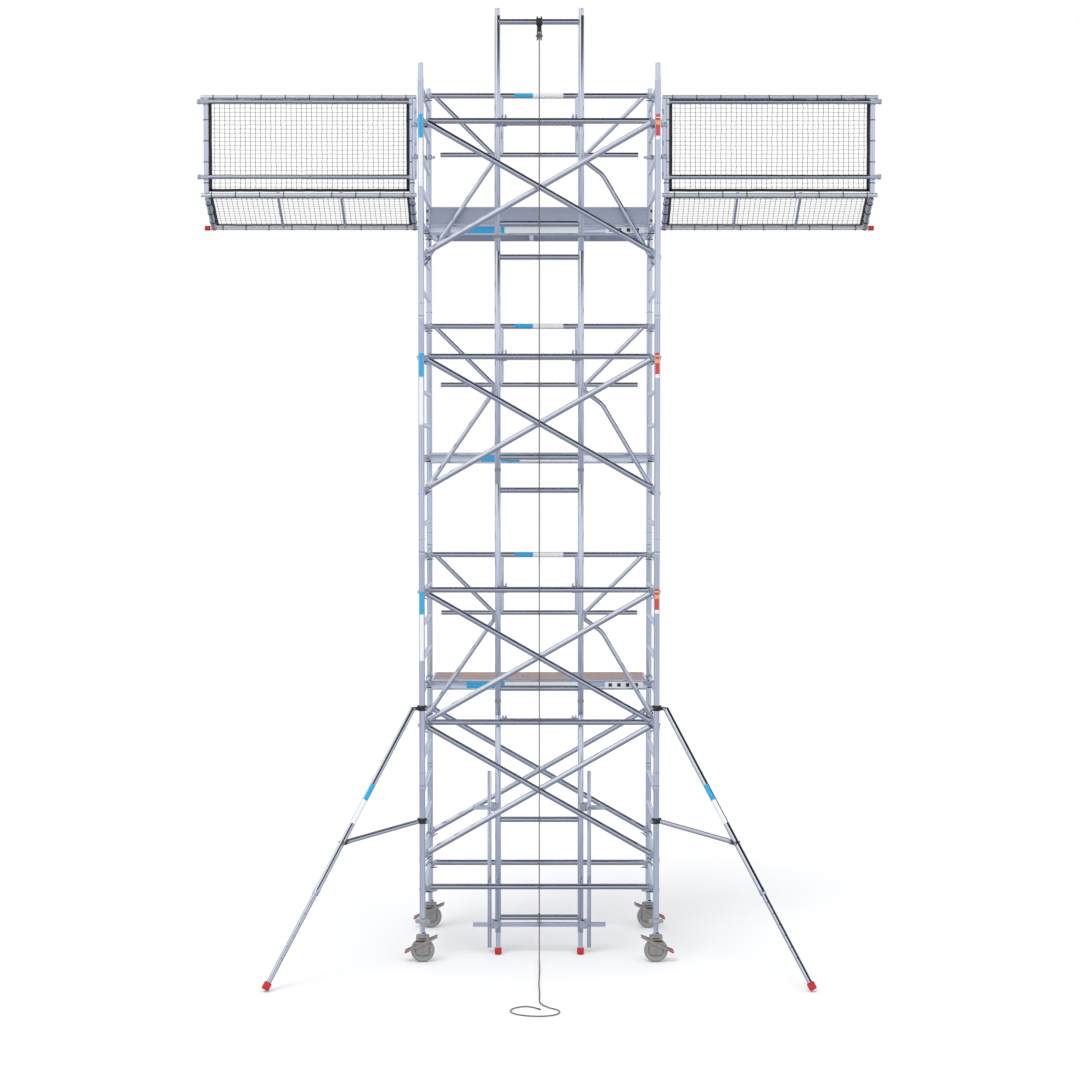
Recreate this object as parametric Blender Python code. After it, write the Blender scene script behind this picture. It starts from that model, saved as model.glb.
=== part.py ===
"""Mobile aluminium tower scaffold with a rope hoist ladder and two folding net guards.

Metres, +Z up, standing on z = 0. The climbing side with the hoist ladder faces -Y. The near posts stand at
NEAR_Y and the far posts at FAR_Y; "left" is -X and "right" is +X.
"""

import math

import bmesh
import bpy
from mathutils import Matrix, Vector

# --- driving dimensions ---
SIDES = 8  # sides of an upright tube
BAR_SIDES = 6  # sides of a rung, brace or rail
GAP = 0.0003  # between pieces that touch

POST_X = 0.98
NEAR_Y = -0.35
FRAME_DEPTH = 1.295
FAR_Y = NEAR_Y + FRAME_DEPTH
POST_R = 0.0254
POST_BORE_R = 0.0232
SPIGOT_R = 0.0225
SPIGOT_BORE_R = 0.0195
SPIGOT_LENGTH = 0.125
RUNG_R = 0.020
RUNG_PITCH = 0.28
FIRST_RUNG = 0.22  # above the foot of its frame
FRAME_FEET = (0.366, 1.486, 3.446, 5.406)
FRAME_RUNGS = (4, 7, 7, 7)

BRACE_R = 0.024
BRACE_PLANES = (0.059, 0.109, 0.175)  # first diagonal, second diagonal, level brace, from the posts' axis
BRACE_LIFT = 0.015  # a brace's axis over its rungs' axes
RAIL_LIFT = 0.010
HOOK_INNER_R = 0.0206
HOOK_OUTER_R = 0.031

WHEEL_R = 0.100
WHEEL_HALF = 0.0245
LEG_R = 0.0205
LEG_TOP = 0.80
LEG_FOOT = 0.2335
NUT_BORE_R = 0.0215  # the wing nut's bore, round the leg

DECK_RUNGS = (2.266, 4.226, 6.186)
DECK_NEAR = 0.65
DECK_FAR = 1.25
DECK_X = 0.935
HATCH = (-0.745, -0.100, 0.705, 1.195)  # opening: low x, high x, near y, far y, from the near posts

RAIL_RUNGS = (3.386, 5.346, 7.306)
RAIL_Y = 0.60

LADDER_Y = 0.27
STILE_X = 0.351
STILE_R = 0.025
LADDER_RUNG_R = 0.023
LADDER_JOINT = 4.010
LADDER_TOP = 7.93
LADDER_RUNGS_LOW = (0.318, 1.158, 1.998, 2.278, 3.118, 3.958)
LADDER_RUNGS_HIGH = (4.238, 5.078, 5.918, 6.198, 7.038, 7.878)

SHEAVE_Z = 7.762
SHEAVE_R = 0.030
GROOVE_R = 0.0208
ROPE_R = 0.005
ROPE_BEND_R = 0.027
LOAD_Y = LADDER_Y + 0.08  # the carriage's rope eye
CARRIAGE_Z = 0.238  # the middle of its cross bar

NET_GUARD_Y = FRAME_DEPTH
GUARD_IN_X = 1.13
GUARD_OUT_X = 2.95
GUARD_TOP_Z = 7.416
GUARD_LOW_Z = 6.555
FLAP_REACH = 0.489
HINGE_HOOK_ROOM = 0.032  # from the hinge's axis to the upper net
NET_HALF_THICKNESS = 0.0015
FLAP_LEAN = math.radians(59.2)  # from straight down, outwards

STAB_TOP = 2.142
STAB_FOOT = Vector((2.18, -1.00, 0.0))  # from the middle of the near posts
STAB_CLAMP_LOW = 1.193
STAB_JOINT = 0.673  # share of the leg that is the upper tube
STAB_R = 0.024

COLOURS = {
    "aluminium": ((0.62, 0.65, 0.72), 0.3, 1.0),
    "dark_metal": ((0.05, 0.05, 0.055), 0.5, 0.8),
    "caster_metal": ((0.42, 0.41, 0.39), 0.5, 0.6),
    "wheel": ((0.30, 0.31, 0.31), 0.7, 0.0),
    "deck": ((0.50, 0.38, 0.34), 0.7, 0.0),
    "rope": ((0.16, 0.10, 0.06), 0.9, 0.0),
    "net": ((0.03, 0.03, 0.03), 0.9, 0.0),
}


# --- tools ---
def clear_scene():
    for obj in list(bpy.data.objects):
        bpy.data.objects.remove(obj, do_unlink=True)


def slot_material(slot):
    material = bpy.data.materials.get(slot)
    if material is None:
        colour, roughness, metallic = COLOURS[slot]
        material = bpy.data.materials.new(slot)
        material.use_nodes = True
        shader = material.node_tree.nodes["Principled BSDF"]
        shader.inputs["Base Color"].default_value = (*colour, 1.0)
        shader.inputs["Roughness"].default_value = roughness
        shader.inputs["Metallic"].default_value = metallic
    return material


def point(x, y, z):
    """A point given by its distance behind the near posts."""
    return Vector((x, NEAR_Y + y, z))


def tube(start, end, radius, sides=SIDES):
    """A closed bar between two points. A level bar has flats, not corners, at its top and bottom."""

    def add(bm):
        along = Vector(end) - Vector(start)
        up = Vector((0, 0, 1)) if abs(along.normalized().z) < 0.999 else Vector((0, 1, 0))
        side = along.cross(up).normalized()
        frame = Matrix((side, along.normalized().cross(side), along.normalized())).transposed().to_4x4()
        turn = Matrix.Rotation(math.pi / sides, 4, "Z")
        middle = Matrix.Translation((Vector(start) + Vector(end)) / 2)
        bmesh.ops.create_cone(
            bm, cap_ends=True, segments=sides, radius1=radius, radius2=radius,
            depth=along.length, matrix=middle @ frame @ turn,
        )

    return add


def box(low, high):
    """A box between two corners; their order doesn't matter."""

    def add(bm):
        low_corner = Vector(min(a, b) for a, b in zip(low, high))
        size = Vector(abs(a - b) for a, b in zip(low, high))
        place = Matrix.Translation(low_corner + size / 2) @ Matrix.Diagonal((*size, 1.0))
        bmesh.ops.create_cube(bm, size=1.0, matrix=place)

    return add


def slab(outline, axis, start, end):
    """A flat outline pulled along an axis.

    The outline's pairs are (y, z) for X, (x, z) for Y and (x, y) for Z.
    """
    place = {
        "X": lambda a, b, t: (t, a, b),
        "Y": lambda a, b, t: (a, t, b),
        "Z": lambda a, b, t: (a, b, t),
    }[axis]

    def add(bm):
        lower = [bm.verts.new(place(a, b, start)) for a, b in outline]
        upper = [bm.verts.new(place(a, b, end)) for a, b in outline]
        faces = [bm.faces.new(lower), bm.faces.new(upper)]
        count = len(outline)
        for i in range(count):
            j = (i + 1) % count
            faces.append(bm.faces.new((lower[i], lower[j], upper[j], upper[i])))
        bmesh.ops.recalc_face_normals(bm, faces=faces)

    return add


def arc(centre, radius, start, end, steps):
    """Points of an arc, its angles in degrees."""
    angles = [math.radians(start + (end - start) * i / steps) for i in range(steps + 1)]
    return [(centre[0] + radius * math.cos(a), centre[1] + radius * math.sin(a)) for a in angles]


def hook(centre, axis, low, high, inner, outer, start, end, steps=5):
    """An open ring round a bar, from one angle to another, whose inner flats clear the inner radius."""
    corner = inner / math.cos(math.radians(abs(end - start)) / steps / 2)
    outline = arc(centre, corner, start, end, steps) + arc(centre, outer, end, start, steps)
    return slab(outline, axis, low, high)


def turned(profile, start, end, sides, first=None):
    """A ring turned round the line from start to end; the profile holds (distance, radius) pairs."""

    def add(bm):
        along = (Vector(end) - Vector(start)).normalized()
        up = first or (Vector((0, 0, -1)) if abs(along.z) < 0.999 else Vector((0, 1, 0)))
        out = (up - along * up.dot(along)).normalized()
        side = along.cross(out)
        rings = []
        for i in range(sides):
            angle = 2 * math.pi * (i + (0 if first else 0.5)) / sides
            way = out * math.cos(angle) + side * math.sin(angle)
            rings.append([bm.verts.new(Vector(start) + along * s + way * r) for s, r in profile])
        faces = []
        count = len(profile)
        for i in range(sides):
            a, b = rings[i], rings[(i + 1) % sides]
            for j in range(count):
                k = (j + 1) % count
                faces.append(bm.faces.new((a[j], a[k], b[k], b[j])))
        bmesh.ops.recalc_face_normals(bm, faces=faces)

    return add


def shape_object(add, collection):
    bm = bmesh.new()
    add(bm)
    mesh = bpy.data.meshes.new("shape")
    bm.to_mesh(mesh)
    bm.free()
    obj = bpy.data.objects.new("shape", mesh)
    collection.objects.link(obj)
    return obj


def boolean(mesh, shapes, operation):
    """The mesh with every shape joined to it or cut from it."""
    scene = bpy.context.scene.collection
    tools = bpy.data.collections.new("tools")
    scene.children.link(tools)
    for add in shapes:
        shape_object(add, tools)
    base = bpy.data.objects.new("base", mesh)
    scene.objects.link(base)
    modifier = base.modifiers.new("join", "BOOLEAN")
    modifier.operation = operation
    modifier.operand_type = "COLLECTION"
    modifier.collection = tools
    bpy.context.view_layer.update()
    graph = bpy.context.evaluated_depsgraph_get()
    result = bpy.data.meshes.new_from_object(base.evaluated_get(graph))
    for obj in [base, *tools.objects]:
        bpy.data.objects.remove(obj, do_unlink=True)
    bpy.data.collections.remove(tools)
    return result


def solid(name, slot, shapes, cuts=()):
    """One closed body in one node: the shapes joined, less the cuts."""
    bm = bmesh.new()
    shapes[0](bm)
    mesh = bpy.data.meshes.new(name)
    bm.to_mesh(mesh)
    bm.free()
    if len(shapes) > 1:
        mesh = boolean(mesh, shapes[1:], "UNION")
    if cuts:
        mesh = boolean(mesh, cuts, "DIFFERENCE")
    mesh.materials.clear()
    mesh.materials.append(slot_material(slot))
    mesh.shade_smooth()
    mesh.set_sharp_from_angle(angle=math.radians(40))
    obj = bpy.data.objects.new(name, mesh)
    bpy.context.scene.collection.objects.link(obj)
    return obj


def sides():
    """(name, sign of x) of the tower's two sides."""
    return (("left", -1), ("right", 1))


# --- frames ---
def wing_nut(x, y, foot):
    """The nut under a post that carries it on the adjustable leg."""
    return [
        tube((x, y, foot - 0.044), (x, y, foot + 0.004), 0.034),
        box((x - 0.060, y - 0.008, foot - 0.034), (x + 0.060, y + 0.008, foot - 0.008)),
    ]


def ladder_frame(name, x, foot, rungs, nuts):
    top = foot + RUNG_PITCH * rungs
    shapes, cuts = [], []
    for y in (NEAR_Y, FAR_Y):
        shapes.append(tube((x, y, foot + GAP), (x, y, top), POST_R))
        shapes.append(tube((x, y, top - 0.02), (x, y, top + SPIGOT_LENGTH), SPIGOT_R))
        cuts.append(tube((x, y, foot - 0.001), (x, y, top - 0.05), POST_BORE_R))
        cuts.append(tube((x, y, top - 0.06), (x, y, top + SPIGOT_LENGTH + 0.01), SPIGOT_BORE_R))
        if nuts:
            shapes += wing_nut(x, y, foot)
            cuts.append(tube((x, y, foot - 0.06), (x, y, foot + 0.01), NUT_BORE_R))
    for i in range(rungs):
        z = foot + FIRST_RUNG + RUNG_PITCH * i
        shapes.append(tube((x, NEAR_Y, z), (x, FAR_Y, z), RUNG_R, BAR_SIDES))
    solid(name, "aluminium", shapes, cuts)


def make_frames():
    for side, sign in sides():
        for level, (foot, rungs) in enumerate(zip(FRAME_FEET, FRAME_RUNGS)):
            name = f"{side}_base_frame" if level == 0 else f"{side}_frame_{level}"
            ladder_frame(name, sign * POST_X, foot, rungs, nuts=level == 0)


# --- braces ---
def claw(sign, y, z, low=-28, high=232):
    """The hook that grips a rung, open below it, with its longer lip outside."""
    if sign < 0:
        low, high = 180 - high, 180 - low
    y = NEAR_Y + y
    return hook((sign * POST_X, z), "Y", y - 0.020, y + 0.020, HOOK_INNER_R, HOOK_OUTER_R, low, high)


def brace(y, left_z, right_z, lift=BRACE_LIFT, radius=BRACE_R):
    """A tube over a rung on the left and one on the right, with a claw at both ends."""
    left, right = point(-POST_X, y, left_z), point(POST_X, y, right_z)
    way = (right - left).normalized()
    rise = Vector((0, 0, lift))
    return [
        tube(left + rise + way * 0.045, right + rise - way * 0.045, radius, BAR_SIDES),
        tube(left + way * 0.0245, left + rise + way * 0.060, 0.012, 4),
        tube(right + rise - way * 0.060, right - way * 0.0245, 0.012, 4),
        claw(-1, y, left_z),
        claw(1, y, right_z),
    ]


def brace_planes(rear):
    """Distances of the two diagonals and the level brace behind the near posts."""
    return [FRAME_DEPTH - plane if rear else plane for plane in BRACE_PLANES]


def crossed_pair(low, high, rear=False):
    """Two diagonals held together by a bolt where they cross."""
    first, second, _ = brace_planes(rear)
    middle = (low + high) / 2 + BRACE_LIFT
    return (
        brace(first, high, low)
        + brace(second, low, high)
        + [tube(point(0, first, middle), point(0, second, middle), 0.008, 4)]
    )


def make_braces():
    _, second, level = brace_planes(rear=False)
    solid("front_sill_brace", "aluminium", brace(level, 0.586, 0.586))
    solid("rear_sill_brace", "aluminium", brace(brace_planes(rear=True)[0], 0.586, 0.586))
    solid("rear_cross_braces", "aluminium", crossed_pair(0.866, 1.986, rear=True))
    pairs = ((0.866, 1.986), (1.986, 3.106), (3.946, 5.066), (5.906, 7.026))
    lip = POST_X + (HOOK_INNER_R + HOOK_OUTER_R) / 2
    for number, (low, high) in enumerate(pairs, 1):
        shapes = brace(level, high, high) + crossed_pair(low, high)
        shapes.append(box(
            point(lip - 0.0035, second, high - 0.006),
            point(lip + 0.0035, level, high + 0.006),
        ))
        solid(f"front_brace_set_{number}", "aluminium", shapes)


# --- casters ---
def corners():
    """(name, x, y, sign of x) of the four casters."""
    for near, y in (("near", NEAR_Y), ("far", FAR_Y)):
        for side, sign in sides():
            yield f"{near}_{side}", sign * POST_X, y, sign


def caster_fork(name, x, y):
    plate = [(-0.0535, 0.225), (-0.0545, 0.150), (-0.0550, 0.068),
             (0.0550, 0.068), (0.0545, 0.150), (0.0535, 0.225)]
    outline = [(x + a, b) for a, b in plate]
    solid(name, "caster_metal", [
        box((x - 0.0535, y - 0.036, 0.208), (x + 0.0535, y + 0.036, 0.2325)),
        slab(outline, "Y", y - 0.0355, y - 0.029),
        slab(outline, "Y", y + 0.029, y + 0.0355),
        tube((x, y - 0.034, WHEEL_R), (x, y + 0.034, WHEEL_R), 0.008),
    ])


def caster_wheel(name, x, y):
    bevel = 0.006
    wheel_sides = 16
    rim = WHEEL_R / math.cos(math.pi / wheel_sides)
    half = WHEEL_HALF
    profile = [(-half, 0.0095), (half, 0.0095), (half, rim - bevel), (half - bevel, rim),
               (bevel - half, rim), (-half, rim - bevel)]
    centre = Vector((x, y, WHEEL_R))
    solid(name, "wheel", [turned(profile, centre, centre + Vector((0, 1, 0)), wheel_sides)])


def brake_lever(name, x, y, sign):
    """A rocker outside the fork: the red pedal end outwards, the release arm inwards and up."""
    cheek = [(0.150, 0.084), (0.060, 0.118), (0.0, 0.138), (-0.060, 0.172), (-0.125, 0.211),
             (-0.125, 0.223), (-0.055, 0.198), (0.0, 0.166), (0.060, 0.142), (0.150, 0.098)]
    outline = [(x + sign * a, b) for a, b in cheek]
    solid(name, "caster_metal", [
        slab(outline, "Y", y - 0.044, y - 0.0395),
        slab(outline, "Y", y + 0.0395, y + 0.044),
        box((x + sign * 0.112, y - 0.045, 0.085), (x + sign * 0.149, y + 0.045, 0.097)),
        box((x - sign * 0.106, y - 0.045, 0.206), (x - sign * 0.124, y + 0.045, 0.216)),
    ])


def make_casters():
    for name, x, y, sign in corners():
        solid(f"{name}_leg", "aluminium", [
            tube((x, y, LEG_FOOT), (x, y, LEG_TOP), LEG_R),
            tube((x, y, LEG_FOOT - GAP), (x, y, LEG_FOOT + 0.017), 0.032),
        ])
        caster_fork(f"{name}_fork", x, y)
        caster_wheel(f"{name}_wheel", x, y)
        brake_lever(f"{name}_brake", x, y, sign)


# --- platforms ---
def platform(number, z):
    low_x, high_x, near_y, far_y = HATCH
    shapes = [
        box(point(-DECK_X, DECK_NEAR, z - 0.045), point(DECK_X, DECK_NEAR + 0.04, z + 0.040)),
        box(point(-DECK_X, DECK_FAR - 0.04, z - 0.045), point(DECK_X, DECK_FAR, z + 0.040)),
        box(point(-0.925, DECK_NEAR + 0.005, z + 0.031), point(0.925, DECK_FAR - 0.005, z + 0.045)),
        box(
            point(high_x + 0.012, DECK_NEAR + 0.01, z - 0.041),
            point(high_x + 0.050, DECK_FAR - 0.01, z + 0.036),
        ),
    ]
    for sign in (-1, 1):
        shapes.append(box(
            point(sign * 0.890, DECK_NEAR + 0.01, z - 0.043),
            point(sign * 0.930, DECK_FAR - 0.01, z + 0.038),
        ))
        for y in (DECK_NEAR + 0.045, DECK_FAR - 0.045):
            shapes.append(box(
                point(sign * 0.920, y - 0.018, z - 0.018),
                point(sign * 0.9565, y + 0.018, z + 0.018),
            ))
            shapes.append(claw(sign, y, z, -10, 215))
    hole = box(point(low_x, near_y, z + 0.02), point(high_x, far_y, z + 0.06))
    solid(f"platform_{number}", "deck", shapes, [hole])


def hatch(number, z):
    low_x, high_x, near_y, far_y = HATCH
    edge = 0.003
    grip_x, grip_y = high_x - 0.045, (near_y + far_y) / 2
    panel = box(point(low_x + edge, near_y + edge, z + 0.033), point(high_x - edge, far_y - edge, z + 0.045))
    slot = box(
        point(grip_x - 0.012, grip_y - 0.035, z + 0.02),
        point(grip_x + 0.012, grip_y + 0.035, z + 0.06),
    )
    solid(f"hatch_{number}", "deck", [panel], [slot])


def make_platforms():
    for number, z in enumerate(DECK_RUNGS, 1):
        platform(number, z)
        hatch(number, z)
    top = DECK_RUNGS[-1] + 0.045
    front = DECK_NEAR - 0.029
    solid("toe_board", "aluminium", [
        box(point(-0.950, front, top + 0.001), point(0.950, front + 0.022, top + 0.145)),
        box(point(-0.970, front - 0.004, top - 0.003), point(-0.930, front + 0.026, top + 0.125)),
        box(point(0.930, front - 0.004, top - 0.003), point(0.970, front + 0.026, top + 0.125)),
    ])


# --- guard-rail frames ---
def guard_rail_frame(number, rung_z):
    top = rung_z + RAIL_LIFT
    knee = top - 0.50
    y = RAIL_Y
    shapes = brace(y, rung_z, rung_z, RAIL_LIFT, 0.0225)
    shapes.append(tube(point(-0.845, y, knee), point(0.845, y, knee), 0.020, BAR_SIDES))
    for sign in (-1, 1):
        bolt = point(sign * 0.39, y, knee - 0.056)
        rung = point(sign * POST_X, y, rung_z - 1.40)
        diagonal = (point(sign * 0.885, y, top - 0.012), point(sign * 0.385, y, knee - 0.008))
        shapes.append(tube(point(sign * 0.324, y, knee), point(sign * 0.324, y, top), 0.019, BAR_SIDES))
        shapes.append(tube(*diagonal, 0.0185, BAR_SIDES))
        shapes.append(box(
            point(sign * 0.375, y - 0.010, knee - 0.075),
            point(sign * 0.405, y + 0.010, knee),
        ))
        bends = [bolt, rung] if sign < 0 else [bolt, point(0.54, y, knee - 0.166), rung]
        near = bends[-2]
        way = (rung - near).normalized()
        bends[-1] = rung - way * 0.045
        for a, b in zip(bends, bends[1:]):
            shapes.append(tube(a, b, 0.019, BAR_SIDES))
        shapes.append(tube(rung - way * 0.06, rung - way * 0.0245, 0.012, 4))
        shapes.append(claw(sign, y, rung_z - 1.40, 95, 290))
    solid(f"guard_rail_frame_{number}", "aluminium", shapes)


# --- hoist ladder ---
def brace_coupler(x, rung_z):
    """An arm from a ladder rung to a level brace, with a half ring over and behind the brace."""
    brace_y, z = NEAR_Y + BRACE_PLANES[2], rung_z + BRACE_LIFT
    return [
        box((x - 0.022, brace_y + 0.028, z - 0.011), (x + 0.022, NEAR_Y + LADDER_Y, z + 0.011)),
        hook((brace_y, z), "X", x - 0.025, x + 0.025, BRACE_R + 0.0008, 0.034, -80, 110),
    ]


def ladder_part(name, low, high, rungs, couplers, extra):
    y = NEAR_Y + LADDER_Y
    shapes = [tube((sign * STILE_X, y, low), (sign * STILE_X, y, high), STILE_R) for sign in (-1, 1)]
    shapes += [tube((-STILE_X, y, z), (STILE_X, y, z), LADDER_RUNG_R, BAR_SIDES) for z in rungs]
    for z in couplers:
        for sign in (-1, 1):
            shapes += brace_coupler(sign * 0.295, z)
    solid(name, "aluminium", shapes + extra)


def make_ladder():
    y = NEAR_Y + LADDER_Y
    feet, heads = [], []
    for sign in (-1, 1):
        x = sign * STILE_X
        feet.append(tube((x, y, 0.05), (x, y, 0.21), 0.0205))
        feet.append(tube((x, y, 0.0), (x, y, 0.058), 0.030))
        heads.append(tube((x, y, LADDER_TOP - 0.01), (x, y, LADDER_TOP + 0.06), 0.0215))
    ladder_part("hoist_ladder_lower", 0.19, LADDER_JOINT - GAP, LADDER_RUNGS_LOW, (1.986, 3.106), feet)
    ladder_part("hoist_ladder_upper", LADDER_JOINT, LADDER_TOP, LADDER_RUNGS_HIGH, (5.066, 7.026), heads)


def make_pulley():
    y = NEAR_Y + LADDER_Y
    rung = LADDER_RUNGS_HIGH[-1]
    cheeks = []
    for sign in (-1, 1):
        cheeks.append(box(
            (sign * 0.0105, y - 0.022, SHEAVE_Z - 0.032),
            (sign * 0.016, y + 0.022, SHEAVE_Z + 0.042),
        ))
    solid("pulley_bracket", "dark_metal", [
        hook((y, rung), "X", -0.025, 0.025, LADDER_RUNG_R + 0.0006, 0.032, -60, 240, 8),
        box((-0.020, y - 0.006, rung - 0.078), (0.020, y + 0.006, rung - 0.0245)),
        box((-0.0155, y - 0.020, SHEAVE_Z + 0.036), (0.0155, y + 0.020, SHEAVE_Z + 0.044)),
        hook((y, rung), "X", -0.020, 0.020, LADDER_RUNG_R + 0.0005, 0.030, 200, 340, 4),
        *cheeks,
        tube((-0.024, y, SHEAVE_Z), (0.024, y, SHEAVE_Z), 0.005),
    ])
    centre = Vector((0, y, SHEAVE_Z))
    profile = [(-0.009, 0.0062), (0.009, 0.0062), (0.009, SHEAVE_R),
               (0.0036, GROOVE_R), (-0.0036, GROOVE_R), (-0.009, SHEAVE_R)]
    solid("pulley_sheave", "dark_metal", [turned(profile, centre, centre + Vector((1, 0, 0)), 16)])


# --- rope ---
def smooth(points, step):
    """Points of a smooth curve through the given ones, with at least one for every step of its length."""
    padded = [points[0] * 2 - points[1], *points, points[-1] * 2 - points[-2]]
    out = [points[0]]
    for a, b, c, d in zip(padded, padded[1:], padded[2:], padded[3:]):
        t0, t1 = 0.0, max((b - a).length ** 0.5, 1e-6)
        t2 = t1 + (c - b).length ** 0.5
        t3 = t2 + max((d - c).length ** 0.5, 1e-6)
        ways = [(b - a).normalized(), (c - b).normalized(), (d - c).normalized()]
        bend = ways[0].angle(ways[1], 0) + ways[1].angle(ways[2], 0)
        count = max(1, min(6, round(bend / 0.35), round((c - b).length / step)))
        for i in range(1, count + 1):
            t = t1 + (t2 - t1) * i / count
            a1 = a * ((t1 - t) / (t1 - t0)) + b * ((t - t0) / (t1 - t0))
            a2 = b * ((t2 - t) / (t2 - t1)) + c * ((t - t1) / (t2 - t1))
            a3 = c * ((t3 - t) / (t3 - t2)) + d * ((t - t2) / (t3 - t2))
            b1 = a1 * ((t2 - t) / (t2 - t0)) + a2 * ((t - t0) / (t2 - t0))
            b2 = a2 * ((t3 - t) / (t3 - t1)) + a3 * ((t - t1) / (t3 - t1))
            out.append(b1 * ((t2 - t) / (t2 - t1)) + b2 * ((t - t1) / (t2 - t1)))
    return out


def rope(name, points):
    curve = bpy.data.curves.new(name, "CURVE")
    curve.dimensions = "3D"
    curve.bevel_depth = ROPE_R
    curve.bevel_resolution = 2
    curve.use_fill_caps = True
    spline = curve.splines.new("POLY")
    spline.points.add(len(points) - 1)
    for target, place in zip(spline.points, points):
        target.co = (*place, 1.0)
    curve.materials.append(slot_material("rope"))
    obj = bpy.data.objects.new(name, curve)
    bpy.context.scene.collection.objects.link(obj)


# The hauling part's route below the sheave, as x, distance behind the near posts, and height.
HAUL_ROUTE = (
    (0.0, 0.0345, 7.060), (0.0, 0.0290, 7.026), (0.0, 0.0280, 6.960),
    (0.0, 0.0280, 5.060), (0.0, 0.0280, 3.100), (0.0, 0.0280, 1.400),
    (0.0, 0.0275, 0.300), (0.0, 0.0240, 0.120), (0.0, 0.0100, 0.045),
    (0.0, -0.0200, 0.014), (0.001, -0.0600, 0.0056), (0.003, -0.3500, 0.0056),
    (-0.003, -0.7500, 0.0056), (0.003, -1.1000, 0.0056), (0.001, -1.2700, 0.0056),
    (0.006, -1.3550, 0.0056), (0.032, -1.4330, 0.0056), (0.082, -1.5100, 0.0056),
    (0.130, -1.5550, 0.0056), (0.157, -1.6150, 0.0056), (0.146, -1.6800, 0.0056),
    (0.105, -1.7250, 0.0056), (0.036, -1.7510, 0.0056), (-0.040, -1.7500, 0.0056),
    (-0.110, -1.7330, 0.0056), (-0.180, -1.6900, 0.0056), (-0.217, -1.6300, 0.0056),
    (-0.217, -1.5700, 0.0056), (-0.190, -1.5150, 0.0056), (-0.148, -1.4800, 0.0056),
    (-0.100, -1.4650, 0.0056), (-0.048, -1.4900, 0.0056), (0.010, -1.5550, 0.0056),
)


def make_rope():
    centre = point(0, LADDER_Y, SHEAVE_Z)
    wrap_end = 163.2
    steps = 8
    start = centre + Vector((0, ROPE_BEND_R, -0.004))
    wrap = [start]
    for i in range(steps + 1):
        angle = math.radians(wrap_end * i / steps)
        wrap.append(centre + Vector((0, math.cos(angle), math.sin(angle))) * ROPE_BEND_R)
    route = wrap + smooth([wrap[-1], *(point(*p) for p in HAUL_ROUTE)], 0.04)[1:]
    rope("rope_hauling_part", route)
    top = start - Vector((0, 0, GAP))
    foot = point(0, LOAD_Y, CARRIAGE_Z + 0.0545)
    count = 12
    rope("rope_load_run", [foot.lerp(top, i / count) for i in range(count + 1)])


# --- carriage ---
def make_carriage():
    y = LADDER_Y

    def bar(low, high):
        """A box by its distances behind the ladder and heights over the cross bar."""
        return box(
            point(low[0], y + low[1], CARRIAGE_Z + low[2]),
            point(high[0], y + high[1], CARRIAGE_Z + high[2]),
        )

    shapes = [bar((-0.565, 0.063, -0.017), (0.565, 0.097, 0.017))]
    for sign in (-1, 1):
        shapes.append(bar((sign * 0.408, 0.043, -0.191), (sign * 0.442, 0.077, 1.323)))
        shapes.append(bar((sign * 0.370, 0.062, 0.991), (sign * 0.565, 0.096, 1.025)))
        for z in (0.023, 1.028):
            shapes.append(bar((sign * 0.380, -0.041, z - 0.033), (sign * 0.410, 0.060, z + 0.033)))
            for x, near, far in ((0.345, -0.042, -0.0285), (0.330, 0.029, 0.046)):
                shapes.append(bar((sign * x, near, z - 0.031), (sign * 0.405, far, z + 0.031)))
    eye = NEAR_Y + LOAD_Y
    outer = arc((0, CARRIAGE_Z + 0.030), 0.020, 0, 360, 12)[:-1]
    shapes.append(slab(outer, "Y", eye - 0.005, eye + 0.005))
    inner = arc((0, CARRIAGE_Z + 0.033), 0.011, 0, 360, 8)[:-1]
    solid("hoist_carriage", "aluminium", shapes, [slab(inner, "Y", eye - 0.02, eye + 0.02)])


# --- net guards ---
def flap_point(x, reach, lift=0.0):
    """A point of the hinged flap, by its distance from the hinge and its height over the flap's plane."""
    y = reach * math.sin(FLAP_LEAN) + lift * math.cos(FLAP_LEAN)
    z = -reach * math.cos(FLAP_LEAN) + lift * math.sin(FLAP_LEAN)
    return point(x, NET_GUARD_Y + y, GUARD_LOW_Z + z)


def guard_frame(side, sign):
    rail_y = NET_GUARD_Y - 0.040
    shapes = []
    for z in (GUARD_TOP_Z, GUARD_LOW_Z):
        shapes.append(tube(point(sign * 1.09, NET_GUARD_Y, z), point(sign * 3.0, NET_GUARD_Y, z), 0.019))
    for x in (GUARD_IN_X, GUARD_OUT_X):
        shapes.append(tube(point(sign * x, NET_GUARD_Y, GUARD_LOW_Z + 0.003),
                           point(sign * x, NET_GUARD_Y, GUARD_TOP_Z - 0.003), STILE_R))
    for z in (7.37, 6.71):
        shapes.append(tube(point(sign * 1.085, rail_y, z), point(sign * 3.025, rail_y, z), 0.021, BAR_SIDES))
    mount_y = rail_y - 0.006
    shapes.append(tube(point(sign * 1.104, mount_y, 6.690), point(sign * 1.104, mount_y, 7.392), 0.0205))
    for z in (6.886, 7.166):
        shapes.append(box(point(sign * 1.008, NET_GUARD_Y - 0.034, z - 0.016),
                          point(sign * 1.100, NET_GUARD_Y - 0.004, z + 0.016)))
        low, high = (35, 325) if sign < 0 else (-145, 145)
        ring = hook((sign * POST_X, FAR_Y), "Z", z - 0.024, z + 0.024, POST_R + 0.0008, 0.036, low, high, 8)
        shapes.append(ring)
    solid(f"{side}_guard_frame", "aluminium", shapes)


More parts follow.
